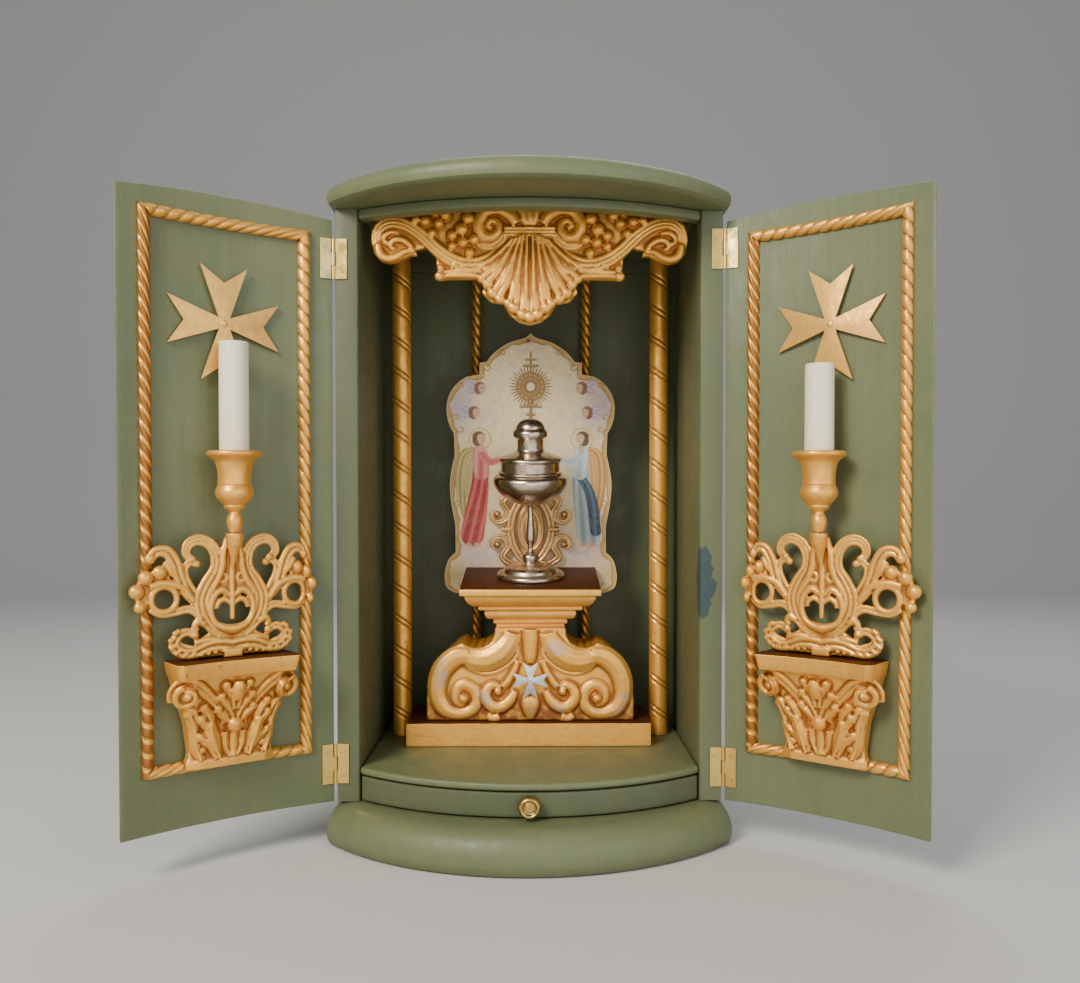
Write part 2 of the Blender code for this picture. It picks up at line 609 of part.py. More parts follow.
def make_vessel(cap_top):
    """A covered bowl on a stem. It stands square on the sloping cap, so its axis leans forward a little."""
    slope = atan2(CAP_RISE, CAP_DEEP)
    seat = bpy.data.objects.new("vessel_seat", None)
    bpy.context.collection.objects.link(seat)
    seat.location = (0, FRONT_Y + CAP_FRONT + VESSEL_FORWARD,
                     cap_top + CAP_RISE * VESSEL_FORWARD / CAP_DEEP + GAP)
    seat.rotation_euler = (slope, 0, 0)
    tall, wide, wall = VESSEL_HIGH, BOWL_RADIUS, VESSEL_WALL
    rim = 0.655 * tall
    bowl = [(0, 0), (0.9 * wide, 0), (0.92 * wide, 0.03 * tall), (0.62 * wide, 0.055 * tall),
            (0.2 * wide, 0.1 * tall), (0.18 * wide, 0.15 * tall),
            (0.05 * wide, 0.195 * tall), (0.13 * wide, 0.245 * tall), (0.05 * wide, 0.445 * tall),
            (0.55 * wide, 0.475 * tall), (0.86 * wide, 0.53 * tall), (wide, 0.6 * tall),
            (0.94 * wide, 0.635 * tall),
            (0.83 * wide, rim), (0.83 * wide - wall, rim), (wide - wall, 0.6 * tall),
            (0.86 * wide - wall, 0.54 * tall), (0.5 * wide, 0.49 * tall), (0, 0.48 * tall)]
    piece("vessel_bowl", [turned(bowl)], SILVER, seat)
    lip = rim + GAP
    lid = [(0, 0.79 * tall), (0.36 * wide, 0.78 * tall), (0.7 * wide, 0.75 * tall),
           (0.82 * wide - wall, 0.735 * tall),
           (0.82 * wide - wall, lip), (0.84 * wide, lip), (0.82 * wide, 0.75 * tall),
           (0.7 * wide, 0.775 * tall),
           (0.36 * wide, 0.8 * tall), (0.35 * wide, 0.88 * tall), (0.47 * wide, 0.9 * tall),
           (0.45 * wide, 0.94 * tall),
           (0.22 * wide, 0.99 * tall), (0, tall)]
    piece("vessel_lid", [turned(lid)], SILVER, seat)


DOOR_HALF = OUTER_HALF + HINGE_OUT
DOOR_LONG = hypot(DOOR_HALF, DOOR_PROW)
DOOR_TURN = atan2(DOOR_PROW, DOOR_HALF)
HINGE_AXIS_Y = FRONT_Y - DOOR_CLEAR / 2
AXIS_U = AXIS_SHARE * DOOR_LONG
FRAME_LOW = DOOR_LOW + FRAME_UP
FRAME_HIGH = DOOR_HIGH - FRAME_DOWN
CAPITAL_LOW = FRAME_LOW + CAPITAL_UP
CAPITAL_HIGH = CAPITAL_LOW + CAPITAL_TALL


def door_face(u):
    """Depth of the door's inner face at u along its chord. Depth grows towards the inside."""
    return -DOOR_SAG * 4 * (u / DOOR_LONG) * (1 - u / DOOR_LONG) - DOOR_CLEAR / 2


def door_shell(side, shell):
    """Turns a shell made in (u, z) with depth v into the door's own frame, hinge axis at the origin."""
    points, faces = shell
    return [(-side * u, v, z) for u, v, z in points], faces


def bed_depth(u, half):
    """Where a flat back of this half width lies on the hollow face of the door, touching it at its edges."""
    return max(door_face(u - half), door_face(u), door_face(u + half)) + GAP


def on_face(shells, u, z, half):
    """Sets shells made about (0, 0) with depth from a flat back onto the door's face at (u, z)."""
    bed = bed_depth(u, half)
    return [([(x + u, y + bed, zz + z) for x, y, zz in points], faces) for points, faces in shells]


def make_panel(side, label, empty):
    start, end = 2.2 * MM, DOOR_LONG - DOOR_MEET / cos(DOOR_TURN)
    inner = []
    for i in range(DOOR_STEPS + 1):
        u = start + (end - start) * i / DOOR_STEPS
        inner.append((u, door_face(u)))
    rings = []
    for i, (u, v) in enumerate(inner):
        # Both long edges are cut back so that the closed doors meet on the cabinet's middle plane.
        back_u = u
        if i == DOOR_STEPS:
            back_u = u - DOOR_THICK * sin(DOOR_TURN) / cos(DOOR_TURN)
        top = DOOR_HIGH + DOOR_ARCH * 4 * (u / DOOR_LONG) * (1 - u / DOOR_LONG)
        rings.append([(u, v, DOOR_LOW), (back_u, v - DOOR_THICK, DOOR_LOW), (back_u, v - DOOR_THICK, top),
                      (u, v, top)])
    piece("door_" + label, [door_shell(side, loft(rings))], GREEN, empty)


def rope_station(share, turns, half, high):
    """Section of the rope strip: a flat back and a crest that leans to one side and then the other."""
    lean = 0.45 if round(share * turns * 2) % 2 else -0.45
    return [(-half, 0), (half * lean, high), (half, 0)]


def make_ropes(side, label, empty):
    half = ROPE_WIDE / 2
    low, high = FRAME_LOW, FRAME_HIGH
    near, far = FRAME_HINGE, DOOR_LONG - FRAME_FREE
    tall, across = high - low, far - near
    for end, u in (("hinge", near + half), ("free", far - half)):
        turns = round(tall / ROPE_PITCH)
        rings = []
        for i in range(turns * 2 + 1):
            share = i / (turns * 2)
            section = rope_station(share, turns, half, ROPE_HIGH)
            ring = []
            for x, y in section:
                z = low + tall * share
                mitre = (half + x) if end == "hinge" else (half - x)
                # The ends are mitred at 45 degrees against the level strips.
                z += (mitre if share == 0 else -mitre if share == 1 else 0)
                z += GAP if share == 0 else -GAP if share == 1 else 0
                ring.append((u + x, door_face(u + x) + GAP + y, z))
            rings.append(ring)
        piece("rope_" + label + "_" + end, [door_shell(side, loft(rings))], GILT, empty)
    for end, z0 in (("bottom", low + half), ("top", high - half)):
        turns = round(across / ROPE_PITCH)
        rings = []
        for i in range(turns * 2 + 1):
            share = i / (turns * 2)
            ring = []
            for x, y in rope_station(share, turns, half, ROPE_HIGH):
                mitre = (half - x) if end == "top" else (half + x)
                u = near + across * share
                u += (mitre + GAP) if share == 0 else -(mitre + GAP) if share == 1 else 0
                ring.append((u, door_face(u) + GAP + y, z0 + x))
            rings.append(ring)
        piece("rope_" + label + "_" + end, [door_shell(side, loft(rings))], GILT, empty)


def make_capital(side, label, empty):
    """A gilt half capital used as a bracket: abacus, corner volutes, a ring of leaves and a collar."""
    high = CAPITAL_TALL
    body_high = high - ABACUS_HIGH
    half, foot = CAPITAL_HALF, CAPITAL_FOOT_HALF
    # The foot hangs in front of the rope moulding, and the body above it lies against the door.
    over_rope = FRAME_LOW + ROPE_WIDE + GAP - CAPITAL_LOW
    clear_rope = ROPE_HIGH + GAP
    rings = []
    for z, wide, back, out in ((0, foot, clear_rope, 0.34), (over_rope, foot, clear_rope, 0.34),
                               (over_rope + GAP, foot * 0.97, 0, 0.33), (body_high * 0.14, foot * 0.93, 0, 0.3),
                               (body_high * 0.5, foot * 1.02, 0, 0.4), (body_high * 0.8, half * 0.86, 0, 0.6),
                               (body_high, half * 0.94, 0, 0.75)):
        reach = CAPITAL_OUT * out
        shoulder = back + (reach - back) * 0.75
        rings.append([(x, y, z) for x, y in ((-wide, back), (-wide, shoulder), (-wide * 0.8, reach),
                                             (wide * 0.8, reach), (wide, shoulder), (wide, back))])
    reach = CAPITAL_OUT
    abacus = [(-half, 0), (-half, reach * 0.8), (-half * 0.94, reach), (-half * 0.4, reach * 0.9),
              (half * 0.4, reach * 0.9),
              (half * 0.94, reach), (half, reach * 0.8), (half, 0)]
    shells = [loft(rings), slab(abacus, body_high - 0.5 * MM, high)]
    curl = spiral(half * 0.8, body_high * 0.83, 11 * MM, 4 * MM, 150, -210, 7)
    volute = band(curl, 6 * MM, reach * 0.7, reach * 0.98)
    eye = prism([(half * 0.8 + 11 * MM * cos(a), body_high * 0.83 + 11 * MM * sin(a)) for a in
                 (2 * pi * i / 7 for i in range(7))], reach * 0.3, reach * 0.8)
    shells += [volute, eye] + mirrored([volute, eye])
    for x, low, top, wide in ((0, 0.42, 0.98, 0.34), (0.3, 0.16, 0.72, 0.26), (0.62, 0.16, 0.5, 0.24)):
        spine = [(x * foot, body_high * low), (x * foot * 1.1, body_high * (low + (top - low) * 0.6)),
                 (x * foot * 1.5, body_high * top)]
        leaf = band(spine, [wide * foot, wide * foot * 1.5, wide * foot * 0.7], reach * 0.2, reach * 0.84,
                    reach * 0.42)
        shells += [leaf] if x == 0 else [leaf] + mirrored([leaf])
    low_leaf = band([(0, body_high * 0.14), (0, body_high * 0.28), (0, body_high * 0.42)],
                    [0.3 * foot, 0.55 * foot, 0.3 * foot], reach * 0.2, reach * 0.72, reach * 0.4)
    shells.append(low_leaf)
    shells = [door_shell(side, shell) for shell in on_face(shells, AXIS_U, CAPITAL_LOW, CAPITAL_HALF)]
    piece("capital_" + label, shells, GILT, empty)


def scroll_half():
    """Straps of one half of the openwork ornament, as (path, widths). Sizes are shares of its half width
    and height."""
    half, high = SCROLL_HALF, SCROLL_HIGH

    def at(points, steps=3):
        return smooth_path([(x * half, z * high) for x, z in points], steps)

    lyre = at([(0.02, 0.2), (0.27, 0.27), (0.31, 0.48), (0.16, 0.68), (0.1, 0.82), (0.28, 0.98), (0.42, 0.9),
               (0.36, 0.8)], 2)
    inner = at([(0.03, 0.52), (0.17, 0.47), (0.22, 0.36)], 2)
    arm = at([(0.26, 0.34), (0.34, 0.52), (0.48, 0.68), (0.58, 0.84), (0.75, 0.88)], 1)
    hook = at([(0.4, 0.6), (0.4, 0.73), (0.29, 0.74)], 1)
    ring = [(0.4 * half, 0.56 * high)] + spiral(0.7 * half, 0.56 * high, 0.14 * half, 0.14 * half, 130, -145, 6)
    stem = at([(0.28, 0.34), (0.42, 0.41), (0.62, 0.46)], 1)
    foot = at([(0, 0.13), (0.58, 0.09), (0.68, 0.2), (0.52, 0.26)], 2)
    return [(lyre, 0.1 * half), (inner, 0.08 * half), (arm, 0.09 * half), (hook, 0.07 * half),
            (ring, 0.075 * half),
            (stem, 0.07 * half), (foot, 0.15 * half)]


def make_scroll(side, label, empty):
    back, front = SCROLL_BACK, SCROLL_FRONT
    half, high = SCROLL_HALF, SCROLL_HIGH
    straps = [band(path, width, back, front) for path, width in scroll_half()]
    berries = [bead(x * half, (back + front) / 2 + 0.3 * MM, z * high, BERRY_RADIUS, 0.8)
               for x, z in ((0.72, 0.71), (0.82, 0.66), (0.87, 0.57), (0.81, 0.47))]
    right = straps + berries
    stem = band([(0, 0.2 * high), (0, 0.82 * high)], [0.06 * half, 0.12 * half], back, front)
    post = turned([(0, 0.7 * high), (1.5 * MM, 0.7 * high), (6.5 * MM, 0.9 * high), (7.5 * MM, high),
                   (0, high)],
                  0, CUP_OUT, 0, 8)
    post_root = band([(0, 0.72 * high), (0, 0.86 * high), (0, 0.99 * high)], [4 * MM, 9 * MM, 11 * MM], back,
                     CUP_OUT, front)
    foot = prism([(-0.22 * half, 0), (0.22 * half, 0), (0.3 * half, 0.14 * high), (0.12 * half, 0.24 * high),
                  (-0.12 * half, 0.24 * high), (-0.3 * half, 0.14 * high)], back, front)
    shells = right + mirrored(right) + [stem, post, post_root, foot]
    low = CAPITAL_HIGH + GAP
    shells = [door_shell(side, shell) for shell in on_face(shells, AXIS_U, low, 0)]
    piece("scroll_" + label, shells, GILT, empty)


def make_cup_and_candle(side, label, empty):
    low = CAPITAL_HIGH + GAP + SCROLL_HIGH + GAP
    out = door_face(AXIS_U) + GAP + CUP_OUT
    tall, wide = CUP_HIGH, CUP_RADIUS
    hole = CANDLE_RADIUS * 1.06 + GAP
    profile = [(0, 0), (0.36 * wide, 0), (0.26 * wide, 0.17 * tall), (0.28 * wide, 0.25 * tall),
               (0.45 * wide, 0.37 * tall), (0.73 * wide, 0.53 * tall), (0.66 * wide, 0.66 * tall),
               (0.74 * wide, 0.85 * tall), (wide, tall), (hole, tall),
               (hole, tall - CUP_SINK), (0, tall - CUP_SINK)]
    cup = turned(profile, AXIS_U, out, low, 10)
    piece("candle_cup_" + label, [door_shell(side, cup)], GILT, empty)
    start = low + tall - CUP_SINK + GAP
    long = CANDLE_LONG[label]
    wax = [(0, 0), (CANDLE_RADIUS, 0), (CANDLE_RADIUS, long), (0, long)]
    piece("candle_" + label, [door_shell(side, turned(wax, AXIS_U, out, start, 12))], WAX, empty)


def knuckles(of_door):
    """Every other knuckle of the hinge, as round sections along its axis."""
    step = LEAF_HIGH / KNUCKLES
    shells = []
    for i in range(1 if of_door else 0, KNUCKLES, 2):
        low, high = i * step + GAP / 2, (i + 1) * step - GAP / 2
        shells.append(turned([(0, low), (KNUCKLE_RADIUS, low), (KNUCKLE_RADIUS, high), (0, high)], steps=6))
    return shells


def leaf_plate(reach, y_front, y_back, of_door):
    """The flat of a hinge leaf, cut away beside the other leaf's knuckles."""
    step = LEAF_HIGH / KNUCKLES
    clear = KNUCKLE_RADIUS + GAP
    shells = [block(clear, reach, y_front, y_back, 0, LEAF_HIGH)]
    for i in range(1 if of_door else 0, KNUCKLES, 2):
        low, high = i * step + GAP / 2, (i + 1) * step - GAP / 2
        shells.append(block(KNUCKLE_RADIUS * 0.4, clear + 1 * MM, y_front, y_back, low, high))
    return shells


def make_hinges(side, label, empty, axis_x):
    middles = {"bottom": DOOR_LOW + HINGE_UP[label], "top": DOOR_HIGH - HINGE_DOWN[label]}
    for place, middle in middles.items():
        low = middle - LEAF_HIGH / 2
        bed = DOOR_CLEAR / 2 - GAP
        # The stile's leaf runs inwards from the axis, on the stile's front edge.
        shells = leaf_plate(LEAF_WIDE, bed - LEAF_THICK, bed, False) + knuckles(False)
        shells = [([(axis_x - side * x, HINGE_AXIS_Y + y, low + z) for x, y, z in points], faces)
                  for points, faces in shells]
        piece("stile_leaf_" + label + "_" + place, shells, BRASS)
        # The door's leaf lies on its inner face, so it turns with the door.
        flat = [([(x, y + door_face(x), z) for x, y, z in points], faces)
                for points, faces in leaf_plate(LEAF_WIDE, GAP, GAP + LEAF_THICK, True)]
        shells = flat + knuckles(True)
        shells = [door_shell(side, ([(x, y, low + z) for x, y, z in points], faces))
                  for points, faces in shells]
        piece("door_leaf_" + label + "_" + place, shells, BRASS, empty)


def make_door(side, label, opening):
    axis_x = side * DOOR_HALF
    empty = bpy.data.objects.new(label + "_door_axis", None)
    bpy.context.collection.objects.link(empty)
    empty.location = (axis_x, HINGE_AXIS_Y, 0)
    empty.rotation_euler = (0, 0, side * (DOOR_TURN + opening))
    make_panel(side, label, empty)
    make_ropes(side, label, empty)
    cross = on_face([prism(maltese(CROSS_HALF), 0, CROSS_THICK)], AXIS_U, DOOR_HIGH - CROSS_DOWN, CROSS_HALF)
    piece("door_cross_" + label, [door_shell(side, cross[0])], GILT, empty)
    make_capital(side, label, empty)
    make_scroll(side, label, empty)
    make_cup_and_candle(side, label, empty)
    make_hinges(side, label, empty, axis_x)


make_cabinet()
make_columns()
make_drawer()
cap_top = make_pedestal()
make_stand(cap_top)
make_card(cap_top)
make_crest()
make_vessel(cap_top)
make_door(-1, "left", OPEN_LEFT)
make_door(1, "right", OPEN_RIGHT)
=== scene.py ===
"""Dresses the viaticum tabernacle: a bow-fronted painted cabinet with gilt carving and two doors."""

from math import atan2, cos, hypot, pi, radians, sin, sqrt

import bpy
import numpy as np
from mathutils import Matrix, Vector


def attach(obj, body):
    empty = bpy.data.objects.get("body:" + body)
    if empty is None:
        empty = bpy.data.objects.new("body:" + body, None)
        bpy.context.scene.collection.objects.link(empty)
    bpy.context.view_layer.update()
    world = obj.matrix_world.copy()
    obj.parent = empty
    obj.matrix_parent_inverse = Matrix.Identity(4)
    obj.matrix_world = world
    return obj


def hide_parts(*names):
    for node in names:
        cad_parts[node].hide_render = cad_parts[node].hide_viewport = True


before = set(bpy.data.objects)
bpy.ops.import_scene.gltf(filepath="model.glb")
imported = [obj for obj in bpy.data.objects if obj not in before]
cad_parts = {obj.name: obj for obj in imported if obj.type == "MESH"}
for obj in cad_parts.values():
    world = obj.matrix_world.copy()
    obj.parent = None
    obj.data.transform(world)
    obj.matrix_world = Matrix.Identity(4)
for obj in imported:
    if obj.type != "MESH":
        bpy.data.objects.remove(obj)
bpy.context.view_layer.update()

# Studio: a camera where the photograph was taken from, a pale floor that sweeps up behind the cabinet, one
# large soft key light from the front left, as the sun falls in the photograph, and weaker ones to fill the
# shade.
MM = 0.001
bpy.ops.object.camera_add(location=(5.1 * MM, -1031.2 * MM, 303.3 * MM),
                          rotation=(radians(88.73), 0, radians(-0.76)))
camera = bpy.context.object
camera.data.sensor_width = 36
camera.data.lens = 34.27
camera.data.shift_x = -0.0085
camera.data.shift_y = 0.0301
bpy.context.scene.camera = camera

bpy.ops.mesh.primitive_plane_add(size=7, location=(0, 0, -0.0005))
floor = bpy.context.object
floor.name = "studio_floor"
bpy.ops.object.mode_set(mode="EDIT")
bpy.ops.mesh.select_all(action="DESELECT")
bpy.ops.object.mode_set(mode="OBJECT")
for edge in floor.data.edges:
    edge.select = all(floor.data.vertices[i].co.y > 1 for i in edge.vertices)
bpy.context.tool_settings.mesh_select_mode = (False, True, False)
bpy.ops.object.mode_set(mode="EDIT")
bpy.ops.mesh.extrude_region_move(TRANSFORM_OT_translate={"value": (0, 0, 4)})
bpy.ops.object.mode_set(mode="OBJECT")
sweep = floor.modifiers.new("sweep", "BEVEL")
sweep.width, sweep.segments, sweep.limit_method, sweep.angle_limit = 1.2, 16, "ANGLE", radians(40)
bpy.ops.object.modifier_apply(modifier="sweep")
bpy.ops.object.shade_smooth()
pale = bpy.data.materials.new("studio_pale")
pale.use_nodes = True
pale.node_tree.nodes["Principled BSDF"].inputs["Base Color"].default_value = (0.62, 0.61, 0.59, 1)
pale.node_tree.nodes["Principled BSDF"].inputs["Roughness"].default_value = 0.85
floor.data.materials.append(pale)

for place, size, power, colour in (((-1.1, -1.7, 1.5), 0.8, 56, (1, 0.94, 0.84)),
                                   ((1.5, -1.5, 0.8), 1.6, 14, (0.86, 0.93, 1)),
                                   ((0.2, -1.9, 0.25), 1.2, 9, (1, 0.97, 0.93)),
                                   ((0.3, 1.1, 1.9), 1.4, 16, (1, 0.98, 0.95))):
    aim = Vector((0, -0.05, 0.3)) - Vector(place)
    bpy.ops.object.light_add(type="AREA", location=place, rotation=aim.to_track_quat("-Z", "Y").to_euler())
    bpy.context.object.data.size, bpy.context.object.data.energy = size, power
    bpy.context.object.data.color = colour
sky = bpy.data.worlds.new("studio_air")
sky.use_nodes = True
sky.node_tree.nodes["Background"].inputs["Color"].default_value = (0.8, 0.83, 0.88, 1)
sky.node_tree.nodes["Background"].inputs["Strength"].default_value = 0.35
bpy.context.scene.world = sky

# Painted case: base, side walls, back, niche floor, front rail and top board, of pine with rounded nosings,
# brushed with two coats of sage-green paint that has mottled and worn through at the edges. Painted shade
# darkens its corners, and darkens the side walls and the drawer front all over.
INNER, OUTER, FRONT, BACK = 151 * MM, 171 * MM, -120 * MM, 142 * MM
GAP = 0.3 * MM
NICHE = INNER - GAP


def knot(tree, kind, inputs, **settings):
    """One shader node, its inputs set to values or joined to other nodes."""
    made = tree.nodes.new("ShaderNode" + kind)
    for key, value in settings.items():
        setattr(made, key, value)
    for socket, value in inputs.items():
        if isinstance(value, bpy.types.NodeSocket):
            tree.links.new(value, made.inputs[socket])
        else:
            made.inputs[socket].default_value = value
    return made


def grain(tree, scale, detail=3, stretch=(1, 1, 1), rough=0.55, twist=0):
    """Noise on the piece's own coordinates."""
    place = knot(tree, "TexCoord", {}).outputs["Object"]
    place = knot(tree, "Mapping", {"Vector": place, "Scale": stretch}).outputs["Vector"]
    return knot(tree, "TexNoise", {"Vector": place, "Scale": scale, "Detail": detail, "Roughness": rough,
                                   "Distortion": twist}).outputs["Fac"]


def spread(tree, value, low, high, to_low=0, to_high=1):
    """Stretches a value from one range to another, and cuts it off at the ends."""
    return knot(tree, "MapRange", {"Value": value, "From Min": low, "From Max": high, "To Min": to_low,
                                   "To Max": to_high}).outputs["Result"]


def blend_of(tree, share, first, second):
    """A mix of two colours by a share from 0 to 1."""
    made = knot(tree, "Mix", {}, data_type="RGBA")
    for socket, value in ((0, share), (6, first), (7, second)):
        if isinstance(value, bpy.types.NodeSocket):
            tree.links.new(value, made.inputs[socket])
        else:
            made.inputs[socket].default_value = value if socket == 0 else (*value[:3], 1)
    return made.outputs[2]


def times(tree, first, second, how="MULTIPLY"):
    """The product of two values, or their sum where how is ADD."""
    return knot(tree, "Math", {0: first, 1: second}, operation=how).outputs[0]


def relief(tree, shader, heights):
    """Joins several heights, each with its depth in metres, to the shader's normal."""
    normal = None
    for height, deep in heights:
        inputs = {"Height": height, "Distance": deep, "Strength": 1.0}
        if normal:
            inputs["Normal"] = normal
        normal = knot(tree, "Bump", inputs).outputs["Normal"]
    tree.links.new(normal, shader.inputs["Normal"])


def edges_of(tree, radius):
    """1 on edges that stand out, 0 on flat parts: the rounded normal leans away from the true one there."""
    soft = knot(tree, "Bevel", {"Radius": radius}, samples=4).outputs["Normal"]
    true = knot(tree, "NewGeometry", {}).outputs["True Normal"]
    dot = knot(tree, "VectorMath", {0: soft, 1: true}, operation="DOT_PRODUCT").outputs["Value"]
    return spread(tree, dot, 0.995, 0.8)


def sage_paint(name, painted_shade=0, chip=None):
    """Sage-green paint, darkened all over by the share of painted shade given. chip is the middle and reach of
    a spot of older teal paint.
    """
    made = bpy.data.materials.new(name)
    made.use_nodes = True
    tree = made.node_tree
    shader = tree.nodes["Principled BSDF"]
    broad = spread(tree, grain(tree, 7, 4), 0.3, 0.7)
    small = spread(tree, grain(tree, 46, 4, twist=0.6), 0.35, 0.72)
    strokes = grain(tree, 30, 5, (3.2, 3.2, 0.22), 0.65)
    colour = blend_of(tree, broad, (0.118, 0.15, 0.064), (0.158, 0.182, 0.088))
    colour = blend_of(tree, times(tree, small, 0.5), colour, (0.175, 0.17, 0.072))
    colour = blend_of(tree, spread(tree, strokes, 0.4, 0.75, 0, 0.45), colour, (0.098, 0.138, 0.078))
    edge = times(tree, edges_of(tree, 2.4 * MM), spread(tree, grain(tree, 75, 4), 0.38, 0.62))
    colour = blend_of(tree, times(tree, edge, 0.65), colour, (0.24, 0.265, 0.15))
    bare = times(tree, edge, spread(tree, grain(tree, 160, 3), 0.6, 0.68))
    colour = blend_of(tree, times(tree, bare, 0.8), colour, (0.085, 0.06, 0.03))
    # Painted shade: darker towards near-black green where the ambient occlusion finds surfaces close by, in
    # corners and under parts, broken up by noise.
    shade = knot(tree, "AmbientOcclusion", {"Distance": 22 * MM}, samples=6).outputs["AO"]
    corner_shade = times(tree, spread(tree, shade, 0.85, 0.35), spread(tree, grain(tree, 60, 3), 0.2, 0.7, 0.35, 1))
    colour = blend_of(tree, times(tree, corner_shade, 0.55), colour, (0.07, 0.075, 0.03))
    specks = spread(tree, grain(tree, 330, 2), 0.7, 0.76)
    colour = blend_of(tree, times(tree, specks, 0.5), colour, (0.07, 0.07, 0.04))
    # Painted shade: the whole colour darkened towards near-black green by the given share.
    colour = blend_of(tree, painted_shade, colour, (0.035, 0.045, 0.022))
    if chip:
        middle, reach = chip
        here = knot(tree, "TexCoord", {}).outputs["Object"]
        far = knot(tree, "VectorMath", {0: here, 1: middle}, operation="SUBTRACT").outputs["Vector"]
        far = knot(tree, "VectorMath", {0: far, 1: reach}, operation="DIVIDE").outputs["Vector"]
        far = knot(tree, "VectorMath", {0: far}, operation="LENGTH").outputs["Value"]
        ragged = times(tree, far, spread(tree, grain(tree, 90, 4), 0.2, 0.8, -0.45, 0.45), "ADD")
        colour = blend_of(tree, spread(tree, ragged, 1.02, 0.95), colour, (0.03, 0.062, 0.06))
    tree.links.new(colour, shader.inputs["Base Color"])
    tree.links.new(spread(tree, small, 0, 1, 0.42, 0.62), shader.inputs["Roughness"])
    relief(tree, shader, ((strokes, 0.5 * MM), (grain(tree, 420, 3), 0.12 * MM),
                          (grain(tree, 24, 2), 0.5 * MM)))
    return made


sage = sage_paint("sage_paint")
# A copy darkened all over with painted shade, for the left wall and the drawer front.
shaded_sage = sage_paint("sage_paint_with_painted_shade", 0.45)


def grid_piece(name, columns, rows, rule):
    """A flat grid whose points are set by a rule of their shares across and along, both from 0 to 1."""
    bpy.ops.object.select_all(action="DESELECT")
    bpy.ops.mesh.primitive_grid_add(x_subdivisions=columns, y_subdivisions=rows, size=2)
    piece = bpy.context.object
    piece.name = piece.data.name = name
    for point in piece.data.vertices:
        point.co = rule((point.co.x + 1) / 2, (point.co.y + 1) / 2)
    return piece


def only(piece):
    """Selects this piece alone and makes it active."""
    bpy.ops.object.select_all(action="DESELECT")
    piece.select_set(True)
    bpy.context.view_layer.objects.active = piece


def thicken(piece, move, rule=None):
    """Draws the whole sheet out into a closed board. rule then moves the drawn points."""
    only(piece)
    bpy.ops.object.mode_set(mode="EDIT")
    bpy.ops.mesh.select_all(action="SELECT")
    bpy.ops.mesh.extrude_region_move(TRANSFORM_OT_translate={"value": move})
    bpy.ops.object.mode_set(mode="OBJECT")
    if rule:
        for point in piece.data.vertices:
            if point.select:
                point.co = rule(point.co)
    bpy.ops.object.mode_set(mode="EDIT")
    bpy.ops.mesh.select_all(action="SELECT")
    bpy.ops.mesh.normals_make_consistent(inside=False)
    bpy.ops.object.mode_set(mode="OBJECT")
    return piece


def closed_up(piece):
    """Joins the points that lie on each other and turns all faces outwards."""
    only(piece)
    bpy.ops.object.mode_set(mode="EDIT")
    bpy.ops.mesh.select_all(action="SELECT")
    bpy.ops.mesh.remove_doubles(threshold=0.00001)
    bpy.ops.mesh.normals_make_consistent(inside=False)
    bpy.ops.object.mode_set(mode="OBJECT")
    return piece


def round_off(piece, width, segments=3, weight=None, angle=35):
    """Rounds the sharp edges, or each by the share that weight, a rule of its middle and way, gives."""
    only(piece)
    bevel = piece.modifiers.new("round", "BEVEL")
    bevel.width, bevel.segments, bevel.angle_limit = width, segments, radians(angle)
    bevel.limit_method = "WEIGHT" if weight else "ANGLE"
    if weight:
        shares = piece.data.attributes.new("bevel_weight_edge", "FLOAT", "EDGE")
        for edge in piece.data.edges:
            a, b = (piece.data.vertices[i].co for i in edge.vertices)
            shares.data[edge.index].value = weight((a + b) / 2, (b - a).normalized())
    bpy.ops.object.modifier_apply(modifier="round")
    return piece


def dress(piece, material, body, *nodes, smooth=30, slot=None):
    """Gives a finished piece its material and shading, the body it rides on and the nodes it stands for."""
    only(piece)
    piece.data.materials.clear()
    piece.data.materials.append(material)
    bpy.ops.object.shade_smooth_by_angle(angle=radians(smooth))
    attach(piece, body)
    if nodes:
        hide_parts(*nodes)
    return piece


def bow(x, half, rise):
    """How far an arc of this half chord and rise stands in front of its chord, at x."""
    radius = (half * half + rise * rise) / (2 * rise)
    return sqrt(radius * radius - min(x * x, half * half)) - (radius - rise)


def bowed_board(name, half, rise, side_y, back_y, low, high):
    """A board with a bowed front and square corners."""
    def rule(across, along):
        x = half * (2 * across - 1)
        return x, (side_y - bow(x, half, rise)) * (1 - along) + back_y * along, low

    return thicken(grid_piece(name, 72, 2, rule), (0, 0, high - low))


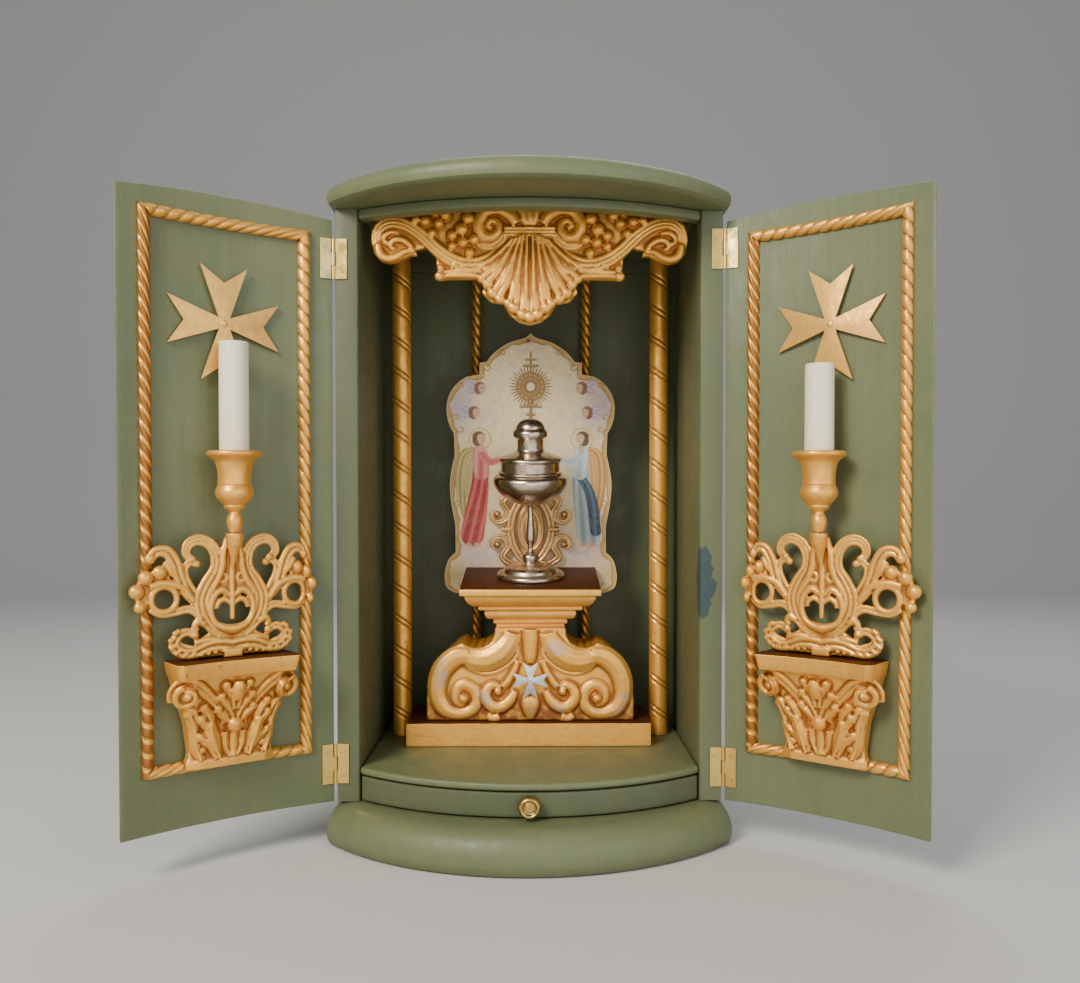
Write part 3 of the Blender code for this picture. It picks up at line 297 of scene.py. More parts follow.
def nosed_board(name, half, nosing):
    """A bowed board whose front and ends follow a nosing of (inset, height) steps, in millimetres, from the
    bottom up. Its front corners are eased into the sides."""
    chord, rise, side_y = half - 5 * MM, 86 * MM, -128 * MM
    radius = (half * half + rise * rise) / (2 * rise)
    slope = chord / sqrt(radius * radius - chord * chord)

    def front(x):
        past = min(max(abs(x) - chord, 0) / (half - chord), 1)
        return (side_y - bow(min(abs(x), chord), half, rise) + slope * (half - chord) * past
                + 4 * MM * (1 - sqrt(1 - past * past)))

    across_front = [half * sin(pi / 2 * (i / 60 - 1)) for i in range(121)]
    outline = ([(-half, BACK), (-half, -40 * MM)] + [(x, front(x)) for x in across_front] + [(half, -40 * MM)]
               + [(half * (1 - i / 10), BACK) for i in range(20)] + [(-half, BACK)])
    levels = [(None, nosing[0][1])] + list(nosing) + [(None, nosing[-1][1])]

    def rule(across, along):
        x, y = outline[round(across * (len(outline) - 1))]
        inset, z = levels[round(along * (len(levels) - 1))]
        if inset is None:
            return 0, 0, z * MM
        return x * (half - inset * MM) / half, BACK if y > BACK - 1 * MM else y + inset * MM, z * MM

    return closed_up(grid_piece(name, len(outline) - 1, len(levels) - 1, rule))


base = nosed_board("case_base", 180 * MM, ((5, 0), (2.2, 1.2), (0.6, 4), (0, 9), (0.3, 15), (1.6, 21),
                                           (4, 26.2), (7.4, 30.6), (11.6, 33.8),
                                           (16.4, 35.6), (21, 36)))
dress(base, sage, "cabinet", "base_step", slot="sage_green_paint")

top_board = nosed_board("case_top_board", 177 * MM, ((7, 560), (3.4, 560.8), (1, 563), (0, 566.4),
                                                     (0.1, 570.4), (1.4, 574.2), (4.2, 577.2),
                                                     (8.2, 579), (13, 579.5)))
recess = bowed_board("ceiling_recess", 147 * MM, 24 * MM, -118 * MM, 128 * MM, 550 * MM, 571 * MM)
only(top_board)
cut = top_board.modifiers.new("recess", "BOOLEAN")
cut.object, cut.operation, cut.solver = recess, "DIFFERENCE", "EXACT"
bpy.ops.object.modifier_apply(modifier="recess")
bpy.data.objects.remove(recess)
dress(top_board, sage, "cabinet", "cornice_top", slot="sage_green_paint")

shelf = bowed_board("niche_floor", NICHE, 56 * MM, FRONT, 131.7 * MM, 60.2 * MM, 66.7 * MM)
round_off(shelf, 2.6 * MM, 4)
dress(shelf, sage, "cabinet", "floor_shelf", slot="sage_green_paint")

rail = thicken(grid_piece("case_front_rail", 64, 2, lambda s, t: (
    NICHE * (2 * s - 1), FRONT - bow(NICHE * (2 * s - 1), NICHE, 40 * MM) + 16 * MM * t, 551.5 * MM)),
    (0, 0, 8.2 * MM))
round_off(rail, 1.6 * MM, 3)
dress(rail, sage, "cabinet", "front_rail", slot="sage_green_paint")

# The right wall's paint: a lighter share of painted shade, and a chip of older teal paint.
worn = sage_paint("sage_paint_chipped", 0.2, ((0.152, -0.119, 0.232), (0.012, 0.014, 0.031)))
for side, name in ((-1, "left"), (1, "right")):
    low, high = 36.3 * MM, 559.7 * MM
    wall = thicken(grid_piece("case_side_" + name, 8, 60, lambda s, t: (
        side * INNER, FRONT + (BACK - FRONT) * s, low + (high - low) * t)), (side * (OUTER - INNER), 0, 0))
    round_off(wall, 2.2 * MM, 3, lambda middle, way: (
        0 if middle.y > FRONT + 0.1 * MM or abs(way.z) < 0.5
        else 0.3 if abs(middle.x) > OUTER - 1 * MM else 1))
    # The left wall takes the copy with more painted shade.
    dress(wall, worn if side > 0 else shaded_sage, "cabinet", "side_" + name, slot="sage_green_paint")
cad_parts["back_board"].material_slots[0].material = sage

# Two front columns of turned pine, gilded, with a pair of fine grooves running round them in one long
# screw, and two thinner ones at the back, carved as three strands twisted together. All four stand on the
# floor of the niche.


def gilding(name, rub=1.0, metal=0.66, hue=(0.95, 0.47, 0.085)):
    """Antique gold over a reddish-brown ground, which shows in the hollows and where the gold is rubbed, with
    painted shade darkening it further where surfaces stand close.
    """
    made = bpy.data.materials.new(name)
    made.use_nodes = True
    tree = made.node_tree
    shader = tree.nodes["Principled BSDF"]
    broad = spread(tree, grain(tree, 26, 3), 0.3, 0.7)
    small = spread(tree, grain(tree, 190, 3), 0.35, 0.7)
    colour = blend_of(tree, broad, hue, [c * k for c, k in zip(hue, (1.08, 1.12, 1.2))])
    colour = blend_of(tree, times(tree, small, 0.35), colour, [c * 0.68 for c in hue])
    edge = times(tree, edges_of(tree, 1.2 * MM), spread(tree, grain(tree, 120, 3), 0.35, 0.65))
    colour = blend_of(tree, times(tree, edge, 0.5), colour, (1, 0.68, 0.27))
    hollow = knot(tree, "Attribute", {}, attribute_name="hollow").outputs["Fac"]
    ragged = times(tree, hollow, spread(tree, grain(tree, 210, 3), 0.2, 0.8, -0.05, 0.05), "ADD")
    colour = blend_of(tree, spread(tree, ragged, 0.06, 0.3, 0, 0.8), colour, (0.23, 0.066, 0.017))
    # Painted shade: darker reddish-brown where the ambient occlusion finds surfaces close by.
    shade = knot(tree, "AmbientOcclusion", {"Distance": 7 * MM}, samples=6).outputs["AO"]
    colour = blend_of(tree, spread(tree, shade, 0.6, 0.2, 0, 0.6), colour, (0.2, 0.062, 0.018))
    scuffs = spread(tree, grain(tree, 95, 5, twist=1.2), 0.69, 0.74, 0, 0.7 * rub)
    colour = blend_of(tree, scuffs, colour, (0.24, 0.085, 0.025))
    tree.links.new(colour, shader.inputs["Base Color"])
    tree.links.new(spread(tree, small, 0, 1, 0.34, 0.52), shader.inputs["Roughness"])
    shader.inputs["Metallic"].default_value = metal
    shader.inputs["Specular IOR Level"].default_value = 0.22
    relief(tree, shader, ((grain(tree, 300, 3), 0.16 * MM), (grain(tree, 70, 3), 0.35 * MM)))
    return made


gilt = gilding("antique_gilding")
COLUMN_FOOT, COLUMN_TOP = 67 * MM, 570.7 * MM


def twisted_column(name, x, y, around, rows, radius_at):
    """A column whose radius follows a rule of the angle and the height, with flat ends."""
    height = COLUMN_TOP - COLUMN_FOOT
    bpy.ops.object.select_all(action="DESELECT")
    bpy.ops.mesh.primitive_cylinder_add(vertices=around, radius=5 * MM, depth=height)
    column = bpy.context.object
    column.name = column.data.name = name
    bpy.ops.object.mode_set(mode="EDIT")
    for step in range(1, rows):
        bpy.ops.mesh.select_all(action="SELECT")
        bpy.ops.mesh.bisect(plane_co=(0, 0, -height / 2 + height * step / rows), plane_no=(0, 0, 1))
    bpy.ops.object.mode_set(mode="OBJECT")
    for point in column.data.vertices:
        angle, z = atan2(point.co.y, point.co.x), point.co.z + height / 2
        radius = radius_at(angle, z)
        point.co = x + radius * cos(angle), y + radius * sin(angle), COLUMN_FOOT + z
    return column


def groove(offset, wide, deep):
    """Depth of one rounded groove at this distance from its middle."""
    return deep * max(0, 1 - (offset / wide) ** 2)


def screw_grooves(angle, z):
    """Radius of a front column, with two grooves side by side in one long screw."""
    lead = 31 * MM
    along = (z + lead * angle / (2 * pi)) % lead - lead / 2
    cut = groove(along - 2.7 * MM, 1.25 * MM, 1.3 * MM) + groove(along + 2.7 * MM, 1.25 * MM, 1.3 * MM)
    return 9.3 * MM - cut


def three_strands(angle, z):
    """Radius of a back column: three round strands twisted together, one full turn in each lead."""
    lead = 35 * MM
    turn = angle * 3 + 2 * pi * z / lead * 3
    return 5.6 * MM - 1.9 * MM * (1 - abs(cos(turn / 2))) ** 1.1


def mark_hollows(piece, rounds=14):
    """Stores how far each point lies below its surroundings, in millimetres, to colour the hollows."""
    mesh = piece.data
    count = len(mesh.vertices)
    spots = np.empty(count * 3)
    mesh.vertices.foreach_get("co", spots)
    spots = spots.reshape(-1, 3)
    ends = np.empty(len(mesh.edges) * 2, int)
    mesh.edges.foreach_get("vertices", ends)
    a, b = ends[::2], ends[1::2]
    shared = np.maximum(np.bincount(a, minlength=count) + np.bincount(b, minlength=count), 1)
    ways = np.empty(count * 3)
    mesh.vertices.foreach_get("normal", ways)
    ways = ways.reshape(-1, 3)
    soft = spots.copy()
    for _ in range(rounds):
        soft = np.stack([(np.bincount(a, soft[b, k], count) + np.bincount(b, soft[a, k], count)) / shared
                         for k in range(3)], 1)
    deep = ((soft - spots) * ways).sum(1) / MM
    mesh.attributes.new("hollow", "FLOAT", "POINT").data.foreach_set("value", deep.astype(np.float32))
    return piece


for side, name in ((-1, "left"), (1, "right")):
    column = twisted_column("column_front_" + name, side * 129.8 * MM, 11 * MM, 40, 560, screw_grooves)
    mark_hollows(column, 5)
    dress(column, gilt, "cabinet", "column_" + name, smooth=60, slot="gilt_wood")
    column = twisted_column("column_back_" + name, side * 61 * MM, 118 * MM, 36, 360, three_strands)
    mark_hollows(column, 4)
    dress(column, gilt, "cabinet", "rear_column_" + name, smooth=60, slot="gilt_wood")

# Crest: a limewood board behind the front rail, carved with a shell fan hung from a tie band, two volutes,
# bunches of grapes and two long scroll arms that curl down over the columns. Gilded over a reddish-brown
# ground.
CREST_TOP, CREST_BACK, CREST_FACE = 569 * MM, -94 * MM, -101.5 * MM


def through(points, steps=8):
    """A smooth run of points through a few given ones, which may carry further numbers, such as a width."""
    ends = [points[0], *points, points[-1]]
    run = []
    for a, b, c, d in zip(ends, ends[1:], ends[2:], ends[3:]):
        for i in range(steps):
            t = i / steps
            run.append([0.5 * (2 * q + (r - p) * t + (2 * p - 5 * q + 4 * r - s) * t * t
                               + (3 * q - p - 3 * r + s) * t ** 3)
                        for p, q, r, s in zip(a, b, c, d)])
    return run + [list(points[-1])]


def strap(points, ribs=2, face=0.0, proud=0.55):
    """Ribs side by side along a line of (x, z, half width) points, as runs of (x, y, z, radius), in mm."""
    line = through(points)
    runs = []
    for rib in range(ribs):
        run = []
        for i, (x, z, half) in enumerate(line):
            x0, z0, _ = line[max(i - 1, 0)]
            x1, z1, _ = line[min(i + 1, len(line) - 1)]
            reach = hypot(x1 - x0, z1 - z0) or 1
            half = max(half, 0.4)
            off = (rib - (ribs - 1) / 2) * 2 * half / ribs
            radius = half / ribs * 1.12
            run.append((x + (z0 - z1) / reach * off,
                        face - radius * (2 * proud - 1) - (1 - proud) * radius * 0.2,
                        z + (x1 - x0) / reach * off,
                        radius))
        runs.append(run)
    return runs


def turned_over(runs):
    """The same runs on the other side of the middle line."""
    return [[(-x, y, z, radius) for x, y, z, radius in run] for run in runs]


def tubes(name, runs, middle=(0, 0, 0), flat=1.0, sides=3):
    """One mesh of round-bodied runs, in millimetres about a middle in metres. flat scales their relief."""
    bpy.ops.object.select_all(action="DESELECT")
    bpy.ops.curve.primitive_nurbs_path_add()
    piece = bpy.context.object
    piece.name = name
    piece.data.splines.clear()
    piece.data.bevel_depth, piece.data.bevel_resolution, piece.data.use_fill_caps = 1, sides, True
    for run in runs:
        spline = piece.data.splines.new("POLY")
        spline.points.add(len(run) - 1)
        for point, (x, y, z, radius) in zip(spline.points, run):
            point.co = (middle[0] + x * MM, y * MM / flat, middle[2] + z * MM, 1)
            point.radius = radius * MM
    bpy.ops.object.convert(target="MESH")
    for point in piece.data.vertices:
        point.co.y = middle[1] + point.co.y * flat
    return piece


def beads(name, spots, middle=(0, 0, 0), flat=0.85):
    """Small balls at (x, y, z, radius) spots, in millimetres, as one mesh."""
    made = []
    for x, y, z, radius in spots:
        bpy.ops.mesh.primitive_ico_sphere_add(subdivisions=3, radius=radius * MM,
                                              location=(middle[0] + x * MM, middle[1] + y * MM,
                                                        middle[2] + z * MM),
                                              scale=(1, flat, 1))
        made.append(bpy.context.object)
    return join(made, name)


def join(pieces, name):
    """Makes the pieces one object with its origin at the world's."""
    bpy.ops.object.select_all(action="DESELECT")
    for piece in pieces:
        piece.select_set(True)
    bpy.context.view_layer.objects.active = pieces[0]
    if len(pieces) > 1:
        bpy.ops.object.join()
    bpy.ops.object.transform_apply(location=True, rotation=True, scale=True)
    pieces[0].name = pieces[0].data.name = name
    return pieces[0]


def plate(name, outline, back, front):
    """A flat board from an outline of (x, z) points in metres."""
    bpy.ops.object.select_all(action="DESELECT")
    bpy.ops.mesh.primitive_circle_add(vertices=len(outline), radius=1, fill_type="NGON")
    piece = bpy.context.object
    piece.name = piece.data.name = name
    for point, (x, z) in zip(piece.data.vertices, outline):
        point.co = x, back, z
    return thicken(piece, (0, front - back, 0))


def carved(name, pieces, grit=0.8, most=190000):
    """Melts the parts of a carving into one skin, as one block of wood, and rounds it a little."""
    piece = join(pieces, name)
    melt = piece.modifiers.new("melt", "REMESH")
    melt.mode, melt.voxel_size, melt.use_smooth_shade = "VOXEL", grit * MM, True
    bpy.ops.object.modifier_apply(modifier="melt")
    ease = piece.modifiers.new("ease", "SMOOTH")
    ease.factor, ease.iterations = 0.5, 2
    bpy.ops.object.modifier_apply(modifier="ease")
    faces = len(piece.data.polygons) * 2
    if faces > most:
        thin = piece.modifiers.new("thin", "DECIMATE")
        thin.ratio = most / faces
        bpy.ops.object.modifier_apply(modifier="thin")
    return mark_hollows(piece)


def both(spots):
    """The spots, and the same ones on the other side of the middle line."""
    return spots + [(-x, *rest) for x, *rest in spots]


crest_middle = (0, CREST_FACE, CREST_TOP)
crest_side = [(0, -2), (70, -2.5), (112, -9), (129, -8.5), (140, -17), (142.4, -30), (140, -43), (134, -50),
              (126, -52), (118, -50),
              (108, -45), (101, -45), (103, -40), (93, -38), (84, -47), (83, -67), (74, -66), (43, -65.5),
              (40, -70), (43, -78), (36, -86), (24, -88),
              (18, -98), (10, -104), (0, -106.5)]
crest_half = [(x * MM, CREST_TOP + z * MM) for x, z in crest_side]
parts = [plate("crest_board", crest_half + [(-x, z) for x, z in reversed(crest_half[1:-1])], CREST_BACK,
               CREST_FACE)]
runs = strap([(12, -17, 4), (17, -9, 5), (28, -3.5, 5), (40, -6, 5), (46, -17, 4.6), (42, -27, 4),
              (33.5, -28.5, 3.6), (28, -22, 3),
              (29.5, -15.5, 2.6), (35, -14, 2.4), (37.5, -18.5, 2.2), (34, -20.5, 2)], ribs=1, proud=0.6)
runs += strap([(12.5, -13, 1.1), (18, -5.5, 1.1), (28, -0.5, 1.1), (41.5, -2.5, 1.1), (50, -17, 1.1),
               (45, -30, 1.1), (34, -32, 1)],
              ribs=1, proud=0.9, face=-1)
runs += strap([(22, -25, 3), (26, -32, 3.4), (35, -37, 3), (45, -35, 2.4), (51, -29, 1.2)], ribs=2, proud=0.7)
runs += strap([(18, -28, 3), (25, -39, 4.6), (37, -49, 5.6), (52, -53.5, 6), (67, -50.5, 6), (82, -41, 5.6),
               (97, -27, 5.2), (111, -18, 5),
               (124, -15.5, 5), (134, -20, 4.8), (138, -30, 4.2), (136, -40, 3.4), (129, -46, 2.6)], ribs=3,
               proud=0.75)
runs += strap([(136, -36, 3), (134, -45, 3.4), (127, -48.5, 3), (119, -46.5, 2.6), (112, -42, 2.2),
               (105, -41.5, 1.6)], ribs=1, proud=0.8)
runs += strap([(104, -42.5, 1.4), (108, -36, 2.2), (115, -31.5, 2.4), (122, -32, 2.2), (125, -37, 1.8),
               (121, -40, 1.4)], ribs=1, proud=0.8)
runs += strap([(118, -25, 1.4), (126, -25, 2), (131, -30, 2), (129, -35, 1.6)], ribs=1, proud=0.8)
runs += strap([(34, -60.5, 3), (46, -61, 4.2), (60, -61, 4), (74, -61.5, 3.4), (79, -63, 3)], ribs=2,
              proud=0.7)
for x in (46, 53, 60, 67):
    runs += strap([(x - 3, -56, 1.4), (x + 0.5, -53.2, 1.8), (x + 3.5, -56.5, 1.2)], ribs=1, proud=0.9)
for root, bend, low, tip, wide in (((2.4, -27), (3.2, -52), (3.6, -76), (4.6, -97), 5),
                                   ((6, -27), (9, -50), (12, -70), (15, -88), 5.4),
                                   ((9, -28), (15, -48), (22, -66), (29, -79), 6.4),
                                   ((12, -29), (21, -45), (30, -57), (39, -66), 6.4),
                                   ((15, -30), (25, -41), (34, -49), (42, -57), 4.6)):
    runs += strap([(*root, 1.6), (*bend, wide * 0.66), (*low, wide * 0.88), (*tip, wide)], ribs=2, proud=0.6,
                  face=-1)
    runs += strap([(*root, 1), (*bend, 1.4), (*low, 1.4), (tip[0] * 0.97, tip[1] + 4, 0.6)], ribs=1,
                  proud=0.8, face=-3.2)
for x, z, reach in ((0, -14, 3), (4.5, -12.5, 2.8), (9, -9, 2.4)):
    runs += strap([(x * 0.3, -19, 1.2), (x, z, reach * 0.8), (x * 1.35, z + 8.5, reach)], ribs=1, proud=0.75)
parts.append(tubes("crest_straps", runs + turned_over(runs), crest_middle, flat=0.85))
ties = [[(-23, -1.6, z, 1.5), (0, -2.6, z - 0.4, 1.5), (23, -1.6, z, 1.5)] for z in (-20.5, -23.6, -26.7)]
parts.append(tubes("crest_tie", ties, crest_middle))
grapes = [(55, -12, 5.4), (61, -22, 5.8), (50, -31, 4.8), (60, -33.5, 5), (69.5, -27.5, 4.4), (54, -43, 4.4),
          (69.5, -37, 4),
          (75.5, -9, 4.6), (81.5, -16.5, 4.2), (93.5, -14.5, 4.6), (102, -13.5, 3.8), (87.5, -25.5, 3.8),
          (84, -7, 3.4)]
parts.append(beads("crest_grapes", [(x, -1.2, z, r) for x, z, r in both(grapes)], crest_middle, flat=0.9))
tips = [(0, -100.4, 5.4), (7, -98, 5.2), (14.5, -92, 5.6), (19, -88, 4.6), (27, -84, 4.8), (33.5, -79, 5.2),
        (38, -71, 4.8), (43, -66, 4.4),
        (81, -64, 4.4), (80, -56.5, 3.2), (36, -71, 3.5), (128, -34.5, 2.4), (136, -35.5, 2)]
parts.append(beads("crest_tips", [(x, -1.5, z, r) for x, z, r in both(tips)], crest_middle, flat=0.8))
crest = carved("crest", parts, grit=0.85)
dress(crest, gilt, "cabinet", "crest_carving", smooth=180, slot="gilt_wood")

# Pedestal: a plain board with a dark varnished top, a block console carved on its front with scrolls, and a
# moulded cap whose top slopes forward and is varnished dark brown. The console's mouldings are gilded, its
# sunk fields red-brown.
BOARD_LOW, BOARD_TOP = 67 * MM, 89.2 * MM
CONSOLE_LOW, CONSOLE_FACE, CONSOLE_BACK = 89.5 * MM, -32 * MM, 40 * MM


def varnished(name, side):
    """Streaky gilding on the front and ends, worn dark varnish on the faces that look up."""
    made = gilding(name)
    tree = made.node_tree
    shader = tree.nodes["Principled BSDF"]
    gold = shader.inputs["Base Color"].links[0].from_socket
    up = knot(tree, "NewGeometry", {}).outputs["Normal"]
    up = knot(tree, "SeparateXYZ", {"Vector": up}).outputs["Z"]
    streaks = grain(tree, 60, 5, side, 0.7)
    top = spread(tree, times(tree, up, spread(tree, streaks, 0.3, 0.7, -0.12, 0.12), "ADD"), 0.72, 0.8)
    dark = blend_of(tree, streaks, (0.11, 0.032, 0.008), (0.045, 0.014, 0.005))
    gold = blend_of(tree, spread(tree, streaks, 0.62, 0.7, 0, 0.55), gold, (0.2, 0.1, 0.035))
    tree.links.new(blend_of(tree, top, gold, dark), shader.inputs["Base Color"])
    tree.links.new(spread(tree, top, 0, 1, 0.46, 0.5), shader.inputs["Roughness"])
    tree.links.new(spread(tree, top, 0, 1, 0.22, 0.08), shader.inputs["Specular IOR Level"])
    tree.links.new(spread(tree, top, 0, 1, 0.7, 0), shader.inputs["Metallic"])
    return made


varnish_top = varnished("gilding_with_varnished_top", (0.2, 2, 2.6))
bpy.ops.object.select_all(action="DESELECT")
bpy.ops.mesh.primitive_cube_add(size=1, location=(-1.5 * MM, 1 * MM, (BOARD_LOW + BOARD_TOP) / 2),
                                scale=(236 * MM, 92 * MM, BOARD_TOP - BOARD_LOW))
board = bpy.context.object
bpy.ops.object.transform_apply(location=True, rotation=True, scale=True)
board.name = board.data.name = "pedestal_foot_board"
bpy.ops.object.mode_set(mode="EDIT")
bpy.ops.mesh.select_all(action="SELECT")
bpy.ops.mesh.subdivide(number_cuts=30)
bpy.ops.object.mode_set(mode="OBJECT")
for point in board.data.vertices:
    x, y, z = point.co
    wobble = 0.35 * MM * sin(x * 190 + z * 500) * sin(x * 71 + y * 120)
    if y < -44 * MM:
        point.co.y += abs(wobble)
    if z > BOARD_TOP - 0.5 * MM:
        point.co.z -= abs(wobble)
round_off(board, 1.4 * MM, 3, angle=50)
dress(board, varnish_top, "cabinet", "pedestal_board", smooth=40, slot="gilt_wood")

console_side = [(34, 92), (35, 82), (39, 75.5), (46, 71.5), (54, 70.5), (61, 72), (66, 75.5), (73, 73),
                (82, 65), (90, 55.5), (96, 44.5),
                (99.5, 33), (101, 21), (101, 9), (100.5, 0)]
half = [(x * MM, CONSOLE_LOW + z * MM) for x, z in console_side]
console = [plate("console_block", half + [(-x, z) for x, z in reversed(half)], CONSOLE_BACK, CONSOLE_FACE)]
console_middle = (0, CONSOLE_FACE, CONSOLE_LOW)
runs = strap([(60, 63, 9), (72, 62, 10), (84, 52, 10), (90, 38, 9.5), (90, 23, 8.5), (83, 11, 7.5),
              (70, 6.5, 6), (58, 9.5, 5.6),
              (52, 19, 5.6), (55, 30, 5.6), (64, 35, 5.4), (71.5, 30, 5), (72.5, 21, 4.4), (67, 16.5, 3.6),
              (62.5, 20, 2.4)], ribs=1, proud=0.32)
runs += strap([(17, 86, 8), (20, 77, 10), (28, 67, 12), (40, 60, 12), (52, 59, 11), (62, 62, 9)], ribs=1,
              proud=0.3)
runs += strap([(15, 29, 2.6), (20, 20, 4.6), (29, 13.5, 5.4), (38, 15, 5.4), (43.5, 23.5, 5), (41, 32, 4.2),
               (34, 34.5, 3.4), (30.5, 29.5, 2.6)],
              ribs=1, proud=0.6)
runs += strap([(12, 58, 2), (16, 48, 2.6), (22, 38, 3), (27, 33, 2.6)], ribs=1, proud=0.6)
runs += strap([(30, 4, 4), (36, 2, 4), (42, 5, 3)], ribs=1, proud=0.6)
runs += strap([(0, 24, 4), (2, 17, 6.5), (0, 2, 3)], ribs=1, proud=0.6)
line = strap([(12.5, 84, 0.9), (12.5, 66, 0.9), (20, 55.5, 0.9), (33, 47.5, 0.9), (46, 45.8, 0.9),
              (57, 49.5, 0.9), (61.5, 52.5, 0.9)],
             ribs=1, proud=0.6)
console.append(tubes("console_straps", runs + turned_over(runs) + line + turned_over(line), console_middle,
                     flat=0.62))
tongue = through([(0, 89, 7.5), (0, 75, 7), (0, 62, 5.8), (0, 56, 3)])
tongue = [(0, -1, z, r) for x, z, r in tongue]
console.append(tubes("console_tongue", [tongue], console_middle, flat=0.5))
console.append(beads("console_eyes", both([(65, -1.5, 21.5, 4.6), (31.5, -1.5, 28.5, 3.6)]), console_middle))
console = carved("console", console, grit=0.85)
for point in console.data.vertices:
    point.co.z = min(max(point.co.z, CONSOLE_LOW), CONSOLE_LOW + 90 * MM)
    point.co.y = max(point.co.y, -38.2 * MM)
ground = gilding("gilding_with_brown_fields")
tree = ground.node_tree
shader = tree.nodes["Principled BSDF"]
gold = shader.inputs["Base Color"].links[0].from_socket
here = knot(tree, "SeparateXYZ", {"Vector": knot(tree, "TexCoord", {}).outputs["Object"]})
sunk = spread(tree, here.outputs["Y"], -33.1 * MM, -32.3 * MM)
low = spread(tree, here.outputs["Z"], CONSOLE_LOW + 34 * MM, CONSOLE_LOW + 10 * MM)
field = times(tree, times(tree, sunk, low), spread(tree, grain(tree, 120, 4), 0.3, 0.55))
face = knot(tree, "SeparateXYZ", {"Vector": knot(tree, "NewGeometry", {}).outputs["Normal"]}).outputs["Y"]
field = times(tree, field, spread(tree, face, -0.6, -0.8))
gold = blend_of(tree, times(tree, field, 0.85), gold, (0.2, 0.05, 0.02))
# Painted reflection: soft grey patches on the console's front, standing in for a pale sky seen in the gilt.
painted_reflection = times(tree, spread(tree, grain(tree, 34, 2), 0.57, 0.66),
             spread(tree, here.outputs["Y"], -33 * MM, -35 * MM))
tree.links.new(blend_of(tree, times(tree, painted_reflection, 0.5), gold, (0.5, 0.46, 0.43)), shader.inputs["Base Color"])
dress(console, ground, "cabinet", "pedestal_console", smooth=180, slot="gilt_wood")

CAP_LOW, CAP_FRONT = 179.8 * MM, -45 * MM
CAP_HALF, CAP_DEEP, CAP_TILT = 68.3, 105, 15
steps = [(-0.28, 33.2), (3.4, 33.2), (3.7, 35.4), (5, 36.2), (7.8, 36), (8.6, 36.8), (9, 41.6), (11, 43.6),
         (14, 44.6), (16.4, 44), (17.2, 45.4),
         (17.6, 50), (19.6, 50.8), (21, 50.2), (21.6, 53.6), (22.4, 57), (25, 60.6), (28.8, 63),
         (31.4, 63.6), (32.2, 64.2), (32.4, CAP_HALF),
         (38.5, CAP_HALF)]


def cap_rule(across, along):
    """Across runs round the left, front, right and back sides, along goes up through the moulding's steps,
    which are in millimetres. The top slopes up by the tilt over the cap's depth."""
    low = round(along * (len(steps) - 1))
    rise, half = steps[low]
    inset = (CAP_HALF - half) * 0.55
    x, y = ((-half, CAP_DEEP), (-half, inset), (half, inset), (half, CAP_DEEP))[round(across * 4) % 4]
    tilt = CAP_TILT * y / CAP_DEEP if low == len(steps) - 1 else 0
    return x * MM, CAP_FRONT + y * MM, CAP_LOW + (rise + tilt) * MM


cap = grid_piece("pedestal_cap_moulding", 4, len(steps) - 1, cap_rule)
only(cap)
bpy.ops.object.mode_set(mode="EDIT")
bpy.ops.mesh.select_all(action="SELECT")
bpy.ops.mesh.remove_doubles(threshold=0.01 * MM)
bpy.ops.mesh.fill_holes(sides=8)
bpy.ops.mesh.select_all(action="SELECT")
bpy.ops.mesh.normals_make_consistent(inside=False)
bpy.ops.object.mode_set(mode="OBJECT")
round_off(cap, 0.5 * MM, 2, angle=40)
dress(cap, varnish_top, "cabinet", "pedestal_cap", smooth=30, slot="gilt_wood")

# Silver cross: a small eight-pointed cross of sheet metal in dull silver, nailed to the middle of the
# console.


def pointed_cross(half, notch, waist):
    """Outline of an eight-pointed cross: four arms that widen outwards and are notched at their ends."""
    outline = []
    for turn in range(4):
        c, s = cos(turn * pi / 2), sin(turn * pi / 2)
        for x, z in ((waist, waist), (1, 0.42), (1 - notch, 0), (1, -0.42)):
            outline.append(((x * c + z * s) * half, (z * c - x * s) * half))
    return outline


def plain_metal(name, colour, rough, dull, spots=0.4, paint=0.0):
    """Metal with a worn sheen, fine scratches, painted shade in its recesses and, where paint is given, a smear
    of the green paint.
    """
    made = bpy.data.materials.new(name)
    made.use_nodes = True
    tree = made.node_tree
    shader = tree.nodes["Principled BSDF"]
    cloud = spread(tree, grain(tree, 85, 4), 0.35, 0.7)
    tone = blend_of(tree, times(tree, cloud, spots), colour, dull)
    # Painted shade: darker where the ambient occlusion finds surfaces close by.
    shade = knot(tree, "AmbientOcclusion", {"Distance": 4 * MM}, samples=6).outputs["AO"]
    tone = blend_of(tree, spread(tree, shade, 0.7, 0.3, 0, 0.7), tone, [c * 0.25 for c in dull])
    if paint:
        smear = spread(tree, grain(tree, 130, 4, (1, 1, 0.5)), 0.62 - paint * 0.3, 0.7 - paint * 0.3)
        tone = blend_of(tree, times(tree, smear, 0.85), tone, (0.33, 0.4, 0.25))
        tree.links.new(spread(tree, smear, 0, 1, 1, 0.15), shader.inputs["Metallic"])
    else:
        shader.inputs["Metallic"].default_value = 1
    tree.links.new(tone, shader.inputs["Base Color"])
    tree.links.new(spread(tree, cloud, 0, 1, rough, rough + 0.18), shader.inputs["Roughness"])
    relief(tree, shader, ((grain(tree, 260, 2, (1, 1, 0.3)), 0.08 * MM),))
    return made


